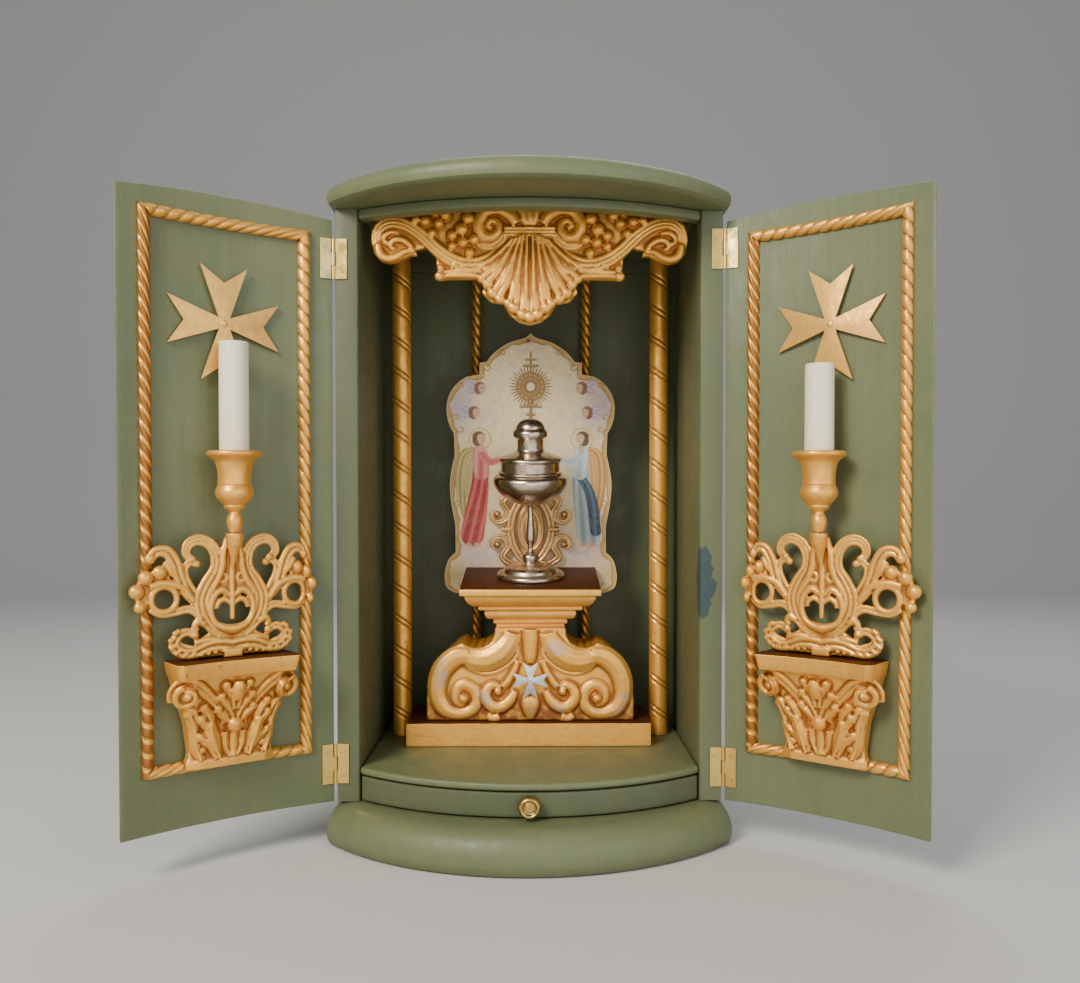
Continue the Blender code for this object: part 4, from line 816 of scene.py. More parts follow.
dull_silver = plain_metal("dull_silver", (0.82, 0.82, 0.83), 0.35, (0.5, 0.5, 0.52), 0.6)
SMALL_CROSS_UP = 130 * MM
small_cross = plate("console_cross", [(x, SMALL_CROSS_UP + z) for x, z in pointed_cross(17.5 * MM, 0.27, 0.12)],
                    -38.6 * MM, -40 * MM)
round_off(small_cross, 0.35 * MM, 2)
bpy.ops.mesh.primitive_uv_sphere_add(segments=16, ring_count=8, radius=1.3 * MM,
                                     location=(0, -40 * MM, SMALL_CROSS_UP), scale=(1, 0.3, 1))
small_cross = join([small_cross, bpy.context.object], "console_cross")
dress(small_cross, dull_silver, "cabinet", "silver_cross", slot="silver_leaf")

# Doors: one board each, hollowed on the inside and bowed on the outside, hung on the side walls by two butt
# hinges and shown wide open. Both long edges are rounded, and the paint is the cabinet's.
HINGE_X, HINGE_Y, PROW = 172.3 * MM, -121.2 * MM, 66 * MM
DOOR_TURN, DOOR_LONG = atan2(PROW, HINGE_X), hypot(PROW, HINGE_X)
DOOR_LOW, DOOR_HIGH, DOOR_THICK = 36.6 * MM, 550 * MM, 14 * MM
OPENING = {"left": radians(121.5), "right": radians(119)}
HANDS = (("left", -1), ("right", 1))
AXIS_U = 0.52 * DOOR_LONG


def door_face(u):
    """Depth of the hollow inner face at u from the hinge. It grows towards whoever looks at the open door."""
    return -36 * MM * (u / DOOR_LONG) * (1 - u / DOOR_LONG) - 1.2 * MM


def hang(piece, hand, side, bench=None):
    """Carries a piece from the door's own frame, hinge line at the origin, to the open door. A piece made
    facing the maker, about its own middle, comes with the (u, depth) where it is fixed."""
    place = Matrix.Translation((side * HINGE_X, HINGE_Y,
                                0)) @ Matrix.Rotation(side * (DOOR_TURN + OPENING[hand]), 4, "Z")
    if bench:
        place = place @ Matrix.Translation((-side * bench[0], bench[1], 0)) @ Matrix.Rotation(pi, 4, "Z")
    piece.data.transform(place)
    return piece


def copy_of(piece, name):
    """A copy of the piece, with a mesh of its own."""
    made = piece.copy()
    made.data = piece.data.copy()
    made.name = made.data.name = name
    bpy.context.collection.objects.link(made)
    return made


for hand, side in HANDS:
    first, last = 0.4 * MM, DOOR_LONG - 0.6 * MM / cos(DOOR_TURN)
    cut_back = DOOR_THICK * sin(DOOR_TURN) / cos(DOOR_TURN)

    def inner_face(across, along):
        u = first + (last - first) * across
        top = DOOR_HIGH + 24 * MM * (u / DOOR_LONG) * (1 - u / DOOR_LONG)
        return -side * u, door_face(u), DOOR_LOW + (top - DOOR_LOW) * along

    def outer_face(point):
        u = -side * point.x
        return -side * (u - cut_back * (u - first) / (last - first)), door_face(u) - DOOR_THICK, point.z

    door = thicken(grid_piece("door_board_" + hand, 40, 4, inner_face), (0, -DOOR_THICK, 0), outer_face)
    round_off(door, 1.2 * MM, 3, angle=45)
    dress(hang(door, hand, side), sage, hand + "_door", "door_" + hand, slot="sage_green_paint")

# Rope mouldings: half-round strips of carved twisted rope, mitred into a frame on each door. Gilded, with
# the brown ground left between the strands.
ROPE_HALF, ROPE_PITCH, ROPE_LOW, ROPE_HIGH = 5 * MM, 36 * MM, 82 * MM, 538 * MM
ROPE_NEAR, ROPE_FAR = 21 * MM, DOOR_LONG - 18.5 * MM


def rope_length(hand, side, end):
    """One side of the rope frame, in the door's own frame."""
    upright = end in ("hinge", "free")
    long = ROPE_HIGH - ROPE_LOW if upright else ROPE_FAR - ROPE_NEAR
    outer = {"hinge": ROPE_NEAR, "free": ROPE_FAR, "bottom": ROPE_LOW, "top": ROPE_HIGH}[end]
    inward = -1 if end in ("free", "top") else 1

    def strand(across, along):
        """A point of the half-round face: across runs over it, along runs up or to the right."""
        angle = pi * across
        twist = -1 if upright else 1
        phase = 3 * (angle + twist * 2 * pi * along * long / ROPE_PITCH)
        swell = 1 - 0.24 * (1 - abs(cos(phase / 2))) ** 1.5
        off, rise = ROPE_HALF * cos(angle) * swell, 0.7 * MM + 5.2 * MM * sin(angle) * swell
        if upright:
            u = outer + inward * ROPE_HALF + side * off
            mitre = abs(u - outer)
            z = ROPE_LOW + mitre + (long - 2 * mitre) * along
        else:
            z = outer + inward * ROPE_HALF + off
            mitre = abs(z - outer) + GAP
            start = ROPE_FAR if side < 0 else ROPE_NEAR
            u = start + side * (mitre + (long - 2 * mitre) * along)
        return -side * u, door_face(u) + GAP + rise, z

    def bed(point):
        return point.x, door_face(-side * point.x) + GAP, point.z

    rope = grid_piece("rope_" + hand + "_" + end + "_carved", 20, round(long / (1.15 * MM)), strand)
    return thicken(rope, (0, -1 * MM, 0), bed)


for hand, side in HANDS:
    for end in ("hinge", "free", "top", "bottom"):
        rope = mark_hollows(rope_length(hand, side, end), 6)
        dress(hang(rope, hand, side), gilt, hand + "_door", "rope_" + hand + "_" + end, smooth=50,
              slot="gilt_wood")

# Door crosses: eight-pointed crosses sawn from thin board, gilded, each held by one round-headed nail in
# its middle.
cross_half, CROSS_UP = 47 * MM, 450 * MM
door_cross = plate("door_cross", [(x, CROSS_UP + z) for x, z in pointed_cross(cross_half, 0.29, 0.1)], 0,
                   -2.4 * MM)
round_off(door_cross, 0.4 * MM, 2)
bpy.ops.mesh.primitive_uv_sphere_add(segments=20, ring_count=10, radius=3 * MM,
                                     location=(0, -2.4 * MM, CROSS_UP), scale=(1, 0.4, 1))
nail = bpy.context.object
bpy.ops.mesh.primitive_torus_add(major_radius=3.1 * MM, minor_radius=0.35 * MM, major_segments=24,
                                 minor_segments=6,
                                 location=(0, -2.4 * MM, CROSS_UP), rotation=(pi / 2, 0, 0))
door_cross = join([door_cross, nail, bpy.context.object], "door_cross")
flat_gilt = gilding("gilding_on_sawn_board", 0.7, 0.6, (0.9, 0.5, 0.12))
for hand, side in HANDS:
    bed = max(door_face(AXIS_U - cross_half), door_face(AXIS_U), door_face(AXIS_U + cross_half)) + GAP
    cross = hang(copy_of(door_cross, "door_cross_" + hand + "_sawn"), hand, side, (AXIS_U, bed))
    dress(cross, flat_gilt, hand + "_door", "door_cross_" + hand, slot="gilt_wood")
bpy.data.objects.remove(door_cross)

# Capitals: half capitals carved in limewood and used as brackets, with a plain abacus, corner volutes, a
# tall middle leaf, lower leaves round it and a plain strip at the foot. Gilded, with the brown ground in
# the hollows.
CAPITAL_LOW, BELL_TALL, ABACUS_HALF = 86 * MM, 77, 52
body_shape = ((0, 37, 13), (6.3, 37, 13), (8.5, 35.4, 11.6), (14, 34.6, 11.4), (38, 37.7, 15.2),
              (61, 44.7, 21.5), (77, 49, 27))


def capital_body(z):
    """Half width and depth of the capital's bell at this height, in millimetres."""
    for (z0, w0, d0), (z1, w1, d1) in zip(body_shape, body_shape[1:]):
        if z <= z1:
            share = (z - z0) / (z1 - z0)
            return w0 + (w1 - w0) * share, d0 + (d1 - d0) * share
    return body_shape[-1][1:]


def bell_depth(x, z):
    """How far the bell stands out from the door at this place, in millimetres."""
    wide, deep = capital_body(z)
    return deep * min(1, 0.72 + 0.28 * max(0, 1 - abs(x) / wide) / 0.25)


def bell(across, along):
    z = BELL_TALL * along
    x = capital_body(z)[0] * (2 * across - 1)
    return x * MM, -bell_depth(x, z) * MM, CAPITAL_LOW + z * MM


def bell_back(point):
    return point.x, -6.6 * MM if point.z < CAPITAL_LOW + 6.4 * MM else -0.3 * MM, point.z


capital = [thicken(grid_piece("capital_bell", 40, 60, bell), (0, 5 * MM, 0), bell_back)]
runs = strap([(0, 8, 3.6), (0, 22, 3.2), (0, 33, 3), (0, 46, 2.2), (0, 58, 2.4), (0, 66, 3)], ribs=1,
             proud=0.7)
runs += strap([(0, 56, 3.4), (0, 64, 5.4), (0, 71, 3.6)], ribs=1, proud=0.75, face=-1)
for start, middle, tip, wide in (((1.5, 48), (4.5, 60), (9.5, 67), 3.6),
                                 ((1.5, 40), (6.5, 51), (12.5, 57.5), 3.8),
                                 ((2, 33), (8, 42), (14.5, 47), 4), ((3, 8), (7, 18), (7.5, 29), 3.6),
                                 ((12, 8), (17, 22), (20, 34), 6), ((14, 22), (20, 34), (27.5, 41), 4.6),
                                 ((13, 14), (21, 22), (29, 27), 4.4), ((17, 32), (21, 43), (26, 51), 4),
                                 ((27, 8), (31, 20), (33, 33), 4), ((31, 26), (33.5, 37), (37.5, 46), 3.8),
                                 ((30, 40), (34, 48), (40.5, 52), 3)):
    leaf = [(*start, wide * 0.5), (*middle, wide), (*tip, wide * 0.82)]
    runs += strap(leaf, ribs=1, proud=0.52)
    runs += strap([(x, z, 1.1) for x, z, _ in leaf], ribs=1, proud=0.6, face=-wide * 0.92)
runs += strap([(8, 36, 2), (14, 50, 3), (24, 62, 4), (35, 71.5, 4.6), (44, 73, 4.4), (50.5, 66, 3.8),
               (50.5, 58, 3.2)], ribs=2, proud=0.62)
runs += strap([(10, 12, 1.8), (13.5, 14.5, 2.2), (12, 18.5, 2), (8.8, 17.5, 1.4)], ribs=1, proud=0.8)
runs += strap([(24, 9, 1.8), (27.6, 11.5, 2.2), (26, 16, 2), (22.6, 14.5, 1.4)], ribs=1, proud=0.8)
spiral = [(42 + r * cos(a), 62 + r * sin(a), w) for a, r, w in
          ((radians(70 - 50 * i), 9.4 - 0.72 * i, 2.5 - 0.14 * i) for i in range(10))]
runs += strap(spiral, ribs=1, proud=0.7, face=-7.5)
leaves = tubes("capital_leaves", runs + turned_over(runs), (0, 0, CAPITAL_LOW), flat=0.85)
balls = [(42, -2, 62, 9.2), (42, -9.6, 62, 2.8), (0, -3.5, 34.5, 6.4), (14.6, -2, 48.5, 3.6),
         (12.8, -2, 59, 3.6), (9.8, -2, 68.5, 3.6),
         (27.8, -2, 41.5, 4.2), (29.2, -2, 27, 4), (26.4, -2, 51.5, 3.8), (38, -2, 46.5, 3.6),
         (20.4, -2.5, 35.5, 4.6)]
balls += [(-x, y, z, r) for x, y, z, r in balls if x]
balls = beads("capital_balls", balls, (0, 0, CAPITAL_LOW), flat=0.85)
for part in (leaves, balls):
    for point in part.data.vertices:
        point.co.y -= bell_depth(point.co.x / MM, min(max((point.co.z - CAPITAL_LOW) / MM, 0), 76)) * MM
capital = carved("capital", capital + [leaves, balls], grit=0.75, most=150000)


def abacus_rule(across, along):
    x = ABACUS_HALF * (2 * across - 1)
    deep = 33.5 + 4.5 * (abs(x) / 49) ** 2 if abs(x) < 49 else 38 - 7 * (abs(x) - 49) / 3
    return x * MM, (-deep * (1 - along) - 0.3 * along) * MM, CAPITAL_LOW + 76.5 * MM


abacus = thicken(grid_piece("abacus", 52, 2, abacus_rule), (0, 0, 13 * MM))
for point in abacus.data.vertices:
    if point.co.z < CAPITAL_LOW + 77 * MM:
        point.co.x, point.co.y = point.co.x * 0.955, point.co.y * 0.93
round_off(abacus, 0.7 * MM, 3, angle=40)
reach = ABACUS_HALF * MM
for hand, side in HANDS:
    fixed = (AXIS_U, max(door_face(AXIS_U - reach), door_face(AXIS_U), door_face(AXIS_U + reach)) + GAP)
    piece = hang(copy_of(capital, "capital_carving_" + hand), hand, side, fixed)
    dress(piece, gilt, hand + "_door", "capital_" + hand, smooth=180, slot="gilt_wood")
    piece = hang(copy_of(abacus, "capital_abacus_" + hand), hand, side, fixed)
    dress(piece, varnish_top, hand + "_door", smooth=40, slot="gilt_wood")
bpy.data.objects.remove(capital)
bpy.data.objects.remove(abacus)

# Openwork scrolls: one carved and pierced piece on each capital, a lyre of ridged scrolls between hooks,
# rings and buds, on a wide leafy foot. Gilded. Its flared stem carries the candle cup.
SCROLL_LOW, SCROLL_BACK, POST_OUT = 175.8 * MM, 12.5, 24
runs = strap([(1, 19, 3), (9, 20, 4), (17, 26, 5.2), (23.5, 37, 6), (25, 49, 6.4), (20, 61, 6),
              (13.5, 72, 5.2), (13, 83, 5), (18, 92.5, 4.8),
              (27, 96.5, 4.6), (35, 93.5, 4.2), (37.5, 86, 3.6), (33, 80.5, 3.2)], ribs=3, proud=0.5)
runs += strap([(4, 98, 2), (7.5, 84, 2.6), (8.5, 74, 2.8), (12, 64, 2.6), (17, 55, 2.2), (18.5, 47, 1.6)],
              ribs=1, proud=0.5)
runs += strap([(1, 50, 2), (8, 55, 2.6), (14, 52, 2.6), (17.5, 44.5, 2.6), (17.5, 36, 2.4), (13.5, 28, 2.6),
               (6, 24, 3.2), (0, 23, 3.6)],
              ribs=1, proud=0.5)
runs += strap([(1, 44, 2), (7, 47.5, 2.2), (12, 44.5, 2.2), (13, 40, 1.8)], ribs=1, proud=0.5)
runs += strap([(7.5 + 3.2 * cos(a), 65 + 3.2 * sin(a), 1.5) for a in (radians(45 * i) for i in range(9))],
              ribs=1, proud=0.5)
runs += strap([(26, 46, 3), (33, 56, 3.6), (38, 66, 3.4), (38.5, 74, 3), (34, 78.5, 2.8), (29.5, 76.5, 2.4)],
              ribs=2, proud=0.5)
runs += strap([(28, 44, 3), (37, 54, 4), (42.5, 66, 4.6), (46, 78, 4.8), (52, 87, 4.8), (60, 88, 4.2),
               (65, 83, 3.8)], ribs=2, proud=0.5)
runs += strap([(44, 66, 2), (50, 73, 2.8), (54, 80, 2.2)], ribs=1, proud=0.5)
ring = [(55 + 10 * cos(a), 50 + 10 * sin(a), 2.3) for a in (radians(30 * i) for i in range(13))]
runs += strap(ring, ribs=1, proud=0.5)
runs += strap([(32, 47, 2.6), (39, 57, 2.8), (48, 61.5, 3), (58, 62.5, 3), (66, 60.5, 2.8)], ribs=1,
              proud=0.5)
runs += strap([(25, 30, 3), (28.5, 37, 3.4), (36, 41, 3.4), (46, 39.5, 3.2), (57, 38.5, 3), (66, 43, 2.6)],
              ribs=2, proud=0.5)
runs += strap([(23, 28, 2.6), (28, 31, 2.8), (31, 27, 2.4), (28.5, 23.5, 2)], ribs=1, proud=0.5)
runs += strap([(0, 9, 5.6), (10, 10.5, 5.6), (20, 9.5, 5), (31, 5.6, 4.6), (41, 6.2, 4.6), (47.5, 12.5, 4.2),
               (45, 19.5, 3.8), (37.5, 23, 3.4),
               (31.5, 20, 3)], ribs=2, proud=0.5)
runs += strap([(11, 15, 2), (22, 15.5, 2.4), (31, 13, 2)], ribs=1, proud=0.5)
for x, z in ((9, 4.4), (15, 3.6), (21, 3), (27, 2.6), (34, 2.8), (41, 2.8), (47, 5.5), (51, 10), (51.5, 16),
             (48, 21.5)):
    runs += strap([(x * 0.9, z + 3.4, 1.8), (x, z, 2.2)], ribs=1, proud=0.55, face=-0.4)
stem = [[(0, -0.6, z, r) for z, r, _ in through([(31, 2, 0), (48, 2.4, 0), (62, 2.2, 0), (78, 2.6, 0),
                                                 (92, 4, 0)])]]
fills = ([(0, 48), (9, 52), (19, 47), (23, 56), (17, 70), (10, 82), (7, 92), (3, 100), (0, 101)],
         [(0, 2), (14, 1.6), (30, 1.6), (42, 3), (49, 10), (46, 19), (40, 14), (31, 11), (24, 18), (12, 25),
          (0, 25)])
fills = [[*fill, *((-x, z) for x, z in reversed(fill) if x)] for fill in fills]
wing = [(46, 60), (52, 63), (60, 62.6), (67, 56), (67.5, 47), (74, 43), (78, 55), (74, 66), (66, 72),
        (56, 74), (51, 68)]
fills += [wing, [(-x, z) for x, z in reversed(wing)]]
scroll = [tubes("scroll_straps", runs + turned_over(runs) + stem, (0, 0, SCROLL_LOW), flat=0.95)]
buds = [(58, 0, 71.5, 5.6), (69, 0, 67.5, 5.8), (76, 0, 57, 5.8), (73.5, 0, 44.5, 4.6), (65.5, 0, 82.5, 4.3),
        (29, 0, 77, 3.2), (31, 0, 20, 3.6),
        (32.5, 0, 81, 3.2)]
scroll.append(beads("scroll_buds", both(buds), (0, 0, SCROLL_LOW), flat=0.85))
for part in scroll:
    for point in part.data.vertices:
        point.co.y = max(min(point.co.y, 4.1 * MM), -5.2 * MM) - (SCROLL_BACK + 4.2) * MM
for fill in fills:
    scroll.append(plate("scroll_web", [(x * MM, SCROLL_LOW + z * MM) for x, z in fill],
                        -(SCROLL_BACK + 1) * MM, -(SCROLL_BACK + 5.2) * MM))
post = [[(0, -POST_OUT + (POST_OUT - 17) * max(0, (94 - z) / 26), z, r)
         for z, r, _ in through([(72, 1.2, 0), (80, 2.6, 0), (88, 4.6, 0), (95, 6.4, 0), (98, 7.2, 0),
                                 (101.6, 7.4, 0)])]]
scroll.append(tubes("scroll_post", post, (0, 0, SCROLL_LOW), sides=5))
bpy.ops.mesh.primitive_cube_add(size=1, location=(0, -16.8 * MM, SCROLL_LOW + 3.4 * MM),
                                scale=(15 * MM, 8 * MM, 6.4 * MM))
scroll.append(bpy.context.object)
scroll = carved("openwork_scroll", scroll, grit=0.75)
for point in scroll.data.vertices:
    point.co.z = max(point.co.z, SCROLL_LOW + 0.05 * MM)
for hand, side in HANDS:
    piece = copy_of(scroll, "scroll_carving_" + hand)
    # The arm on the hinge side is drawn in, to stay clear of the side wall when the door is shut.
    for point in piece.data.vertices:
        beyond = -side * point.co.x - 56 * MM
        if beyond > 0:
            point.co.x += side * 0.26 * beyond
    piece = hang(piece, hand, side, (AXIS_U, door_face(AXIS_U) + GAP))
    dress(piece, gilt, hand + "_door", "scroll_" + hand, smooth=180, slot="gilt_wood")
bpy.data.objects.remove(scroll)

# Candle cups and candles: cups turned in wood, with a ball knop, a bulge and a wide lip, gilded, and a
# plain cream candle set in each. The right candle has burnt lower than the left one.
CUP_LOW = 278.1 * MM


def lathe(name, profile, around=64, steps=5, sharp=()):
    """A turned piece from (radius, height) points in millimetres. Those numbered in sharp stay crisp."""
    rows = []
    start = 0
    for end in [*sorted(sharp), len(profile) - 1]:
        stretch = profile[start:end + 1]
        rows += (through([(r, z) for r, z in stretch],
                         steps) if len(stretch) > 2 else [list(p) for p in stretch])[0 if not rows else 1:]
        start = end
    piece = grid_piece(name, around, len(rows) - 1, lambda s, t: (
        max(rows[round(t * (len(rows) - 1))][0], 0) * MM * cos(2 * pi * s),
        max(rows[round(t * (len(rows) - 1))][0], 0) * MM * sin(2 * pi * s),
        rows[round(t * (len(rows) - 1))][1] * MM))
    return closed_up(piece)


cup_shape = [(0, 0), (4.2, 0), (5.6, 3), (6.6, 8), (5.8, 12.5), (4.4, 15), (4.2, 16.5), (6.6, 18),
             (8.6, 20.4), (8.6, 22), (10.4, 23.6), (14.4, 28.5),
             (15.2, 33), (13.6, 37.6), (12.9, 38.4), (13.4, 39.2), (13.2, 44), (13.7, 51), (15.6, 57.4),
             (19.4, 60.6), (21.5, 62.6), (21.4, 64.8),
             (19.8, 66), (16, 65.2), (12.9, 65), (12.7, 52), (0, 52)]
cup = lathe("candle_cup", cup_shape, 56, 4, sharp=(1, 6, 9, 14, 15, 23, 24, 25))
wax = bpy.data.materials.new("candle_wax")
wax.use_nodes = True
tree = wax.node_tree
shader = tree.nodes["Principled BSDF"]
cream = blend_of(tree, spread(tree, grain(tree, 30, 3, (1, 1, 0.4)), 0.35, 0.7), (1, 0.9, 0.69),
                 (0.96, 0.82, 0.58))
tree.links.new(blend_of(tree, spread(tree, grain(tree, 420, 2), 0.68, 0.75, 0, 0.3), cream,
                        (0.62, 0.52, 0.38)), shader.inputs["Base Color"])
shader.inputs["Roughness"].default_value = 0.42
shader.inputs["Subsurface Weight"].default_value = 0.35
shader.inputs["Subsurface Radius"].default_value = (0.006, 0.004, 0.0025)
relief(tree, shader, ((grain(tree, 60, 3, (1, 1, 0.25)), 0.25 * MM), (grain(tree, 500, 2), 0.04 * MM)))
for hand, side in HANDS:
    long = {"left": 101, "right": 84}[hand]
    out = door_face(AXIS_U) + GAP + POST_OUT * MM
    piece = copy_of(cup, "candle_cup_turned_" + hand)
    piece.data.transform(Matrix.Translation((0, 0, CUP_LOW)))
    dress(hang(piece, hand, side, (AXIS_U, out)), gilt, hand + "_door", "candle_cup_" + hand, smooth=35,
          slot="gilt_wood")
    candle = lathe("candle_stick_" + hand, [(0, 0), (11.8, 0), (11.8, long * 0.3), (11.75, long * 0.7),
                                            (11.6, long - 1.6), (10.6, long - 0.3),
                                            (8, long - 0.6), (3, long - 1.4), (1, long - 1.2),
                                            (0.9, long - 0.1), (0, long)], 48, 4, sharp=(1,))
    candle.data.transform(Matrix.Translation((0, 0, CUP_LOW + 52.3 * MM)))
    hang(candle, hand, side, (AXIS_U, out))
    dress(candle, wax, hand + "_door", "candle_" + hand, smooth=60, slot="wax")
bpy.data.objects.remove(cup)

# Hinges: brass butt hinges, one leaf on the edge of the side wall and one on the door, each held by two
# slotted screws, with three short knuckles in line. The upper door leaves are smeared with the green paint.
LEAF_HIGH, LEAF_WIDE, KNUCKLE = 35 * MM, 11.6 * MM, 1.7 * MM
brass = plain_metal("yellow_brass", (0.95, 0.66, 0.19), 0.22, (0.75, 0.48, 0.13), 0.5)
smeared = plain_metal("brass_smeared_with_paint", (0.9, 0.68, 0.26), 0.3, (0.7, 0.5, 0.18), 0.6, 0.25)
bpy.ops.object.select_all(action="DESELECT")
bpy.ops.mesh.primitive_cylinder_add(vertices=24, radius=2.3 * MM, depth=0.8 * MM)
screw = bpy.context.object
bpy.ops.object.mode_set(mode="EDIT")
for place in (-0.32, 0.32):
    bpy.ops.mesh.select_all(action="SELECT")
    bpy.ops.mesh.bisect(plane_co=(place * MM, 0, 0), plane_no=(1, 0, 0))
bpy.ops.object.mode_set(mode="OBJECT")
for face in screw.data.polygons:
    face.select = face.normal.z > 0.9 and abs(face.center.x) < 0.3 * MM
bpy.context.tool_settings.mesh_select_mode = (False, False, True)
bpy.ops.object.mode_set(mode="EDIT")
bpy.ops.mesh.extrude_region_move(TRANSFORM_OT_translate={"value": (0, 0, -0.55 * MM)})
bpy.ops.object.mode_set(mode="OBJECT")


def hinge_leaf(name, of_door, low, inward):
    """A leaf with its knuckles about the hinge line at the origin, running along X by inward, facing -Y."""
    parts = []
    bpy.ops.mesh.primitive_cube_add(size=1, location=(inward * (LEAF_WIDE + 2.2 * MM) / 2, 0,
                                                      low + LEAF_HIGH / 2),
                                    scale=(LEAF_WIDE - 2.2 * MM, 1 * MM, LEAF_HIGH))
    parts.append(bpy.context.object)
    step = LEAF_HIGH / 3
    for row in ((1,) if of_door else (0, 2)):
        middle = low + (row + 0.5) * step
        bpy.ops.mesh.primitive_cube_add(size=1, location=(inward * 1.7 * MM, 0, middle),
                                        scale=(1.8 * MM, 0.9 * MM, step - GAP))
        parts.append(bpy.context.object)
        bpy.ops.mesh.primitive_cylinder_add(vertices=24, radius=KNUCKLE, depth=step - GAP,
                                            location=(0, 0, middle))
        parts.append(bpy.context.object)
    for up in (0.2, 0.8):
        head = copy_of(screw, "screw_head")
        head.matrix_world = (Matrix.Translation((inward * 7.2 * MM, -0.62 * MM,
                                                 low + LEAF_HIGH * up)) @ Matrix.Rotation(pi / 2, 4, "X")
                             @ Matrix.Rotation(0.6 + up * 2, 4, "Z"))
        parts.append(head)
    leaf = join(parts, name)
    return round_off(leaf, 0.18 * MM, 2, angle=40)


for hand, side in HANDS:
    lows = {"bottom": {"left": 53, "right": 49}[hand] * MM, "top": {"left": 498.5, "right": 508.5}[hand] * MM}
    for place, low in lows.items():
        leaf = hinge_leaf("hinge_stile_" + hand + "_" + place, False, low, -side)
        for point in leaf.data.vertices:
            flat = abs(point.co.x) > KNUCKLE + 0.05 * MM
            point.co.x += side * HINGE_X
            point.co.y += HINGE_Y + (0.4 * MM if flat else 0)
        dress(leaf, brass, "cabinet", "stile_leaf_" + hand + "_" + place, smooth=30, slot="brass")
        leaf = hinge_leaf("hinge_door_" + hand + "_" + place, True, low, side)
        for point in leaf.data.vertices:
            if abs(point.co.x) > KNUCKLE + 0.05 * MM:
                point.co.y -= door_face(abs(point.co.x)) + 0.8 * MM
        dress(hang(leaf, hand, side, (0, 0)), smeared if place == "top" else brass, hand + "_door",
              "door_leaf_" + hand + "_" + place, smooth=30, slot="brass")
bpy.data.objects.remove(screw)

# Scroll stand: four double-ridged C-scrolls round a pointed oval with a domed boss, carved and pierced,
# standing on the pedestal behind the vessel. Gilded, with dark lines left in the grooves.
STAND_LOW, STAND_TALL, STAND_MID_Y = 232.9 * MM, 81.5 * MM, 51.8 * MM
stand_middle = (0, STAND_MID_Y, STAND_LOW + STAND_TALL / 2)
curl = [(35 + r * cos(a), 16 + r * sin(a), w) for a, r, w in
        ((radians(70 - 52 * i), 3.6 + 1.5 * i, 1.9 + 0.28 * i) for i in range(7))]
curl += [(27.5, 32, 3.6), (18, 37, 3.4), (9, 37.6, 3), (0, 36, 2.4)]
runs = strap(curl, ribs=2, proud=0.5)
runs += [[(x, y, -z, radius) for x, y, z, radius in run] for run in runs]
oval = [(21.5 * sin(a) * (1 - 0.14 * abs(cos(a)) ** 2), 35.5 * cos(a),
         4.2) for a in (radians(20 * i) for i in range(10))]
runs += strap(oval, ribs=2, proud=0.5)
runs += strap([(20, 0, 2.8), (30, 0, 2.8)], ribs=1, proud=0.5)
runs += strap([(12.6 * sin(a), 22 * cos(a), 1.1) for a in (radians(20 * i) for i in range(10))], ribs=1,
              proud=0.5)
parts = [tubes("stand_scrolls", runs + turned_over(runs), stand_middle, flat=0.85)]
parts.append(beads("stand_eyes", both([(35, -0.6, 16, 3.6), (35, -0.6, -16, 3.6)]), stand_middle, flat=0.9))
for location, scale in (((0, STAND_MID_Y + 1.2 * MM, stand_middle[2]), (8.4 * MM, 4.6 * MM, 19 * MM)),
                        ((0, STAND_MID_Y + 0.8 * MM, stand_middle[2]), (15 * MM, 1.6 * MM, 27 * MM))):
    bpy.ops.mesh.primitive_uv_sphere_add(segments=40, ring_count=24, radius=1, location=location, scale=scale)
    parts.append(bpy.context.object)
bpy.ops.mesh.primitive_cube_add(size=1, location=(0, 52.4 * MM, STAND_LOW + 1.9 * MM),
                                scale=(26 * MM, 5 * MM, 3.8 * MM))
parts.append(bpy.context.object)
stand = carved("stand_carving", parts, grit=0.5, most=150000)
for point in stand.data.vertices:
    point.co.z = max(point.co.z, STAND_LOW + 0.05 * MM)
    point.co.y = min(point.co.y, 55 * MM)
dress(stand, gilding("gilding_rubbed_dark", 1.5, 0.78, (0.62, 0.36, 0.14)), "cabinet", "scroll_stand",
      smooth=180, slot="gilt_wood")

# Picture card: a thick shaped card behind the pedestal, printed with a rayed disc between two winged
# figures, and small winged heads in the upper lobes, inside a gold border. The picture is painted on it in
# broad areas.
CARD_FACE, CARD_BACK = 60.3 * MM, 63.3 * MM
CARD_LOW, CARD_TALL = 206, 274.6
stretches = ([(0, 481), (3.5, 477.2), (9.8, 474.6), (21.6, 471.2), (33.4, 464.3), (42, 456.6), (46.4, 450.5)],
             [(54, 450.1), (54, 437)],
             [(66.8, 435.3), (77.6, 428), (85.5, 417.1), (88.8, 405.3), (88.4, 393.6), (85.6, 383),
              (81.2, 375.4)],
             [(80.4, 352), (83.5, 338.5), (85.6, 322.8), (84.7, 305.1), (81.7, 287.4), (79.8, 277.6)],
             [(79.6, 249), (87, 241.5), (90.8, 229.5), (91.1, 218.5), (88, 210.5), (79, 206)])
card_side = [through(stretch, 6) if len(stretch) > 2 else stretch for stretch in stretches]
card_side = np.array([point for stretch in card_side for point in stretch])
card_side = card_side[np.argsort(card_side[:, 1], kind="stable")]


def card_rule(across, along):
    z = CARD_LOW + CARD_TALL * along
    half = max(float(np.interp(z, card_side[:, 1], card_side[:, 0])), 0.8)
    return half * (2 * across - 1) * MM, CARD_FACE, z * MM


card = grid_piece("card_board", 270, 320, card_rule)
spots = np.empty(len(card.data.vertices) * 3)
card.data.vertices.foreach_get("co", spots)
across_mm, up_mm = spots[0::3] / MM, spots[2::3] / MM
printed = np.empty((len(across_mm), 3))


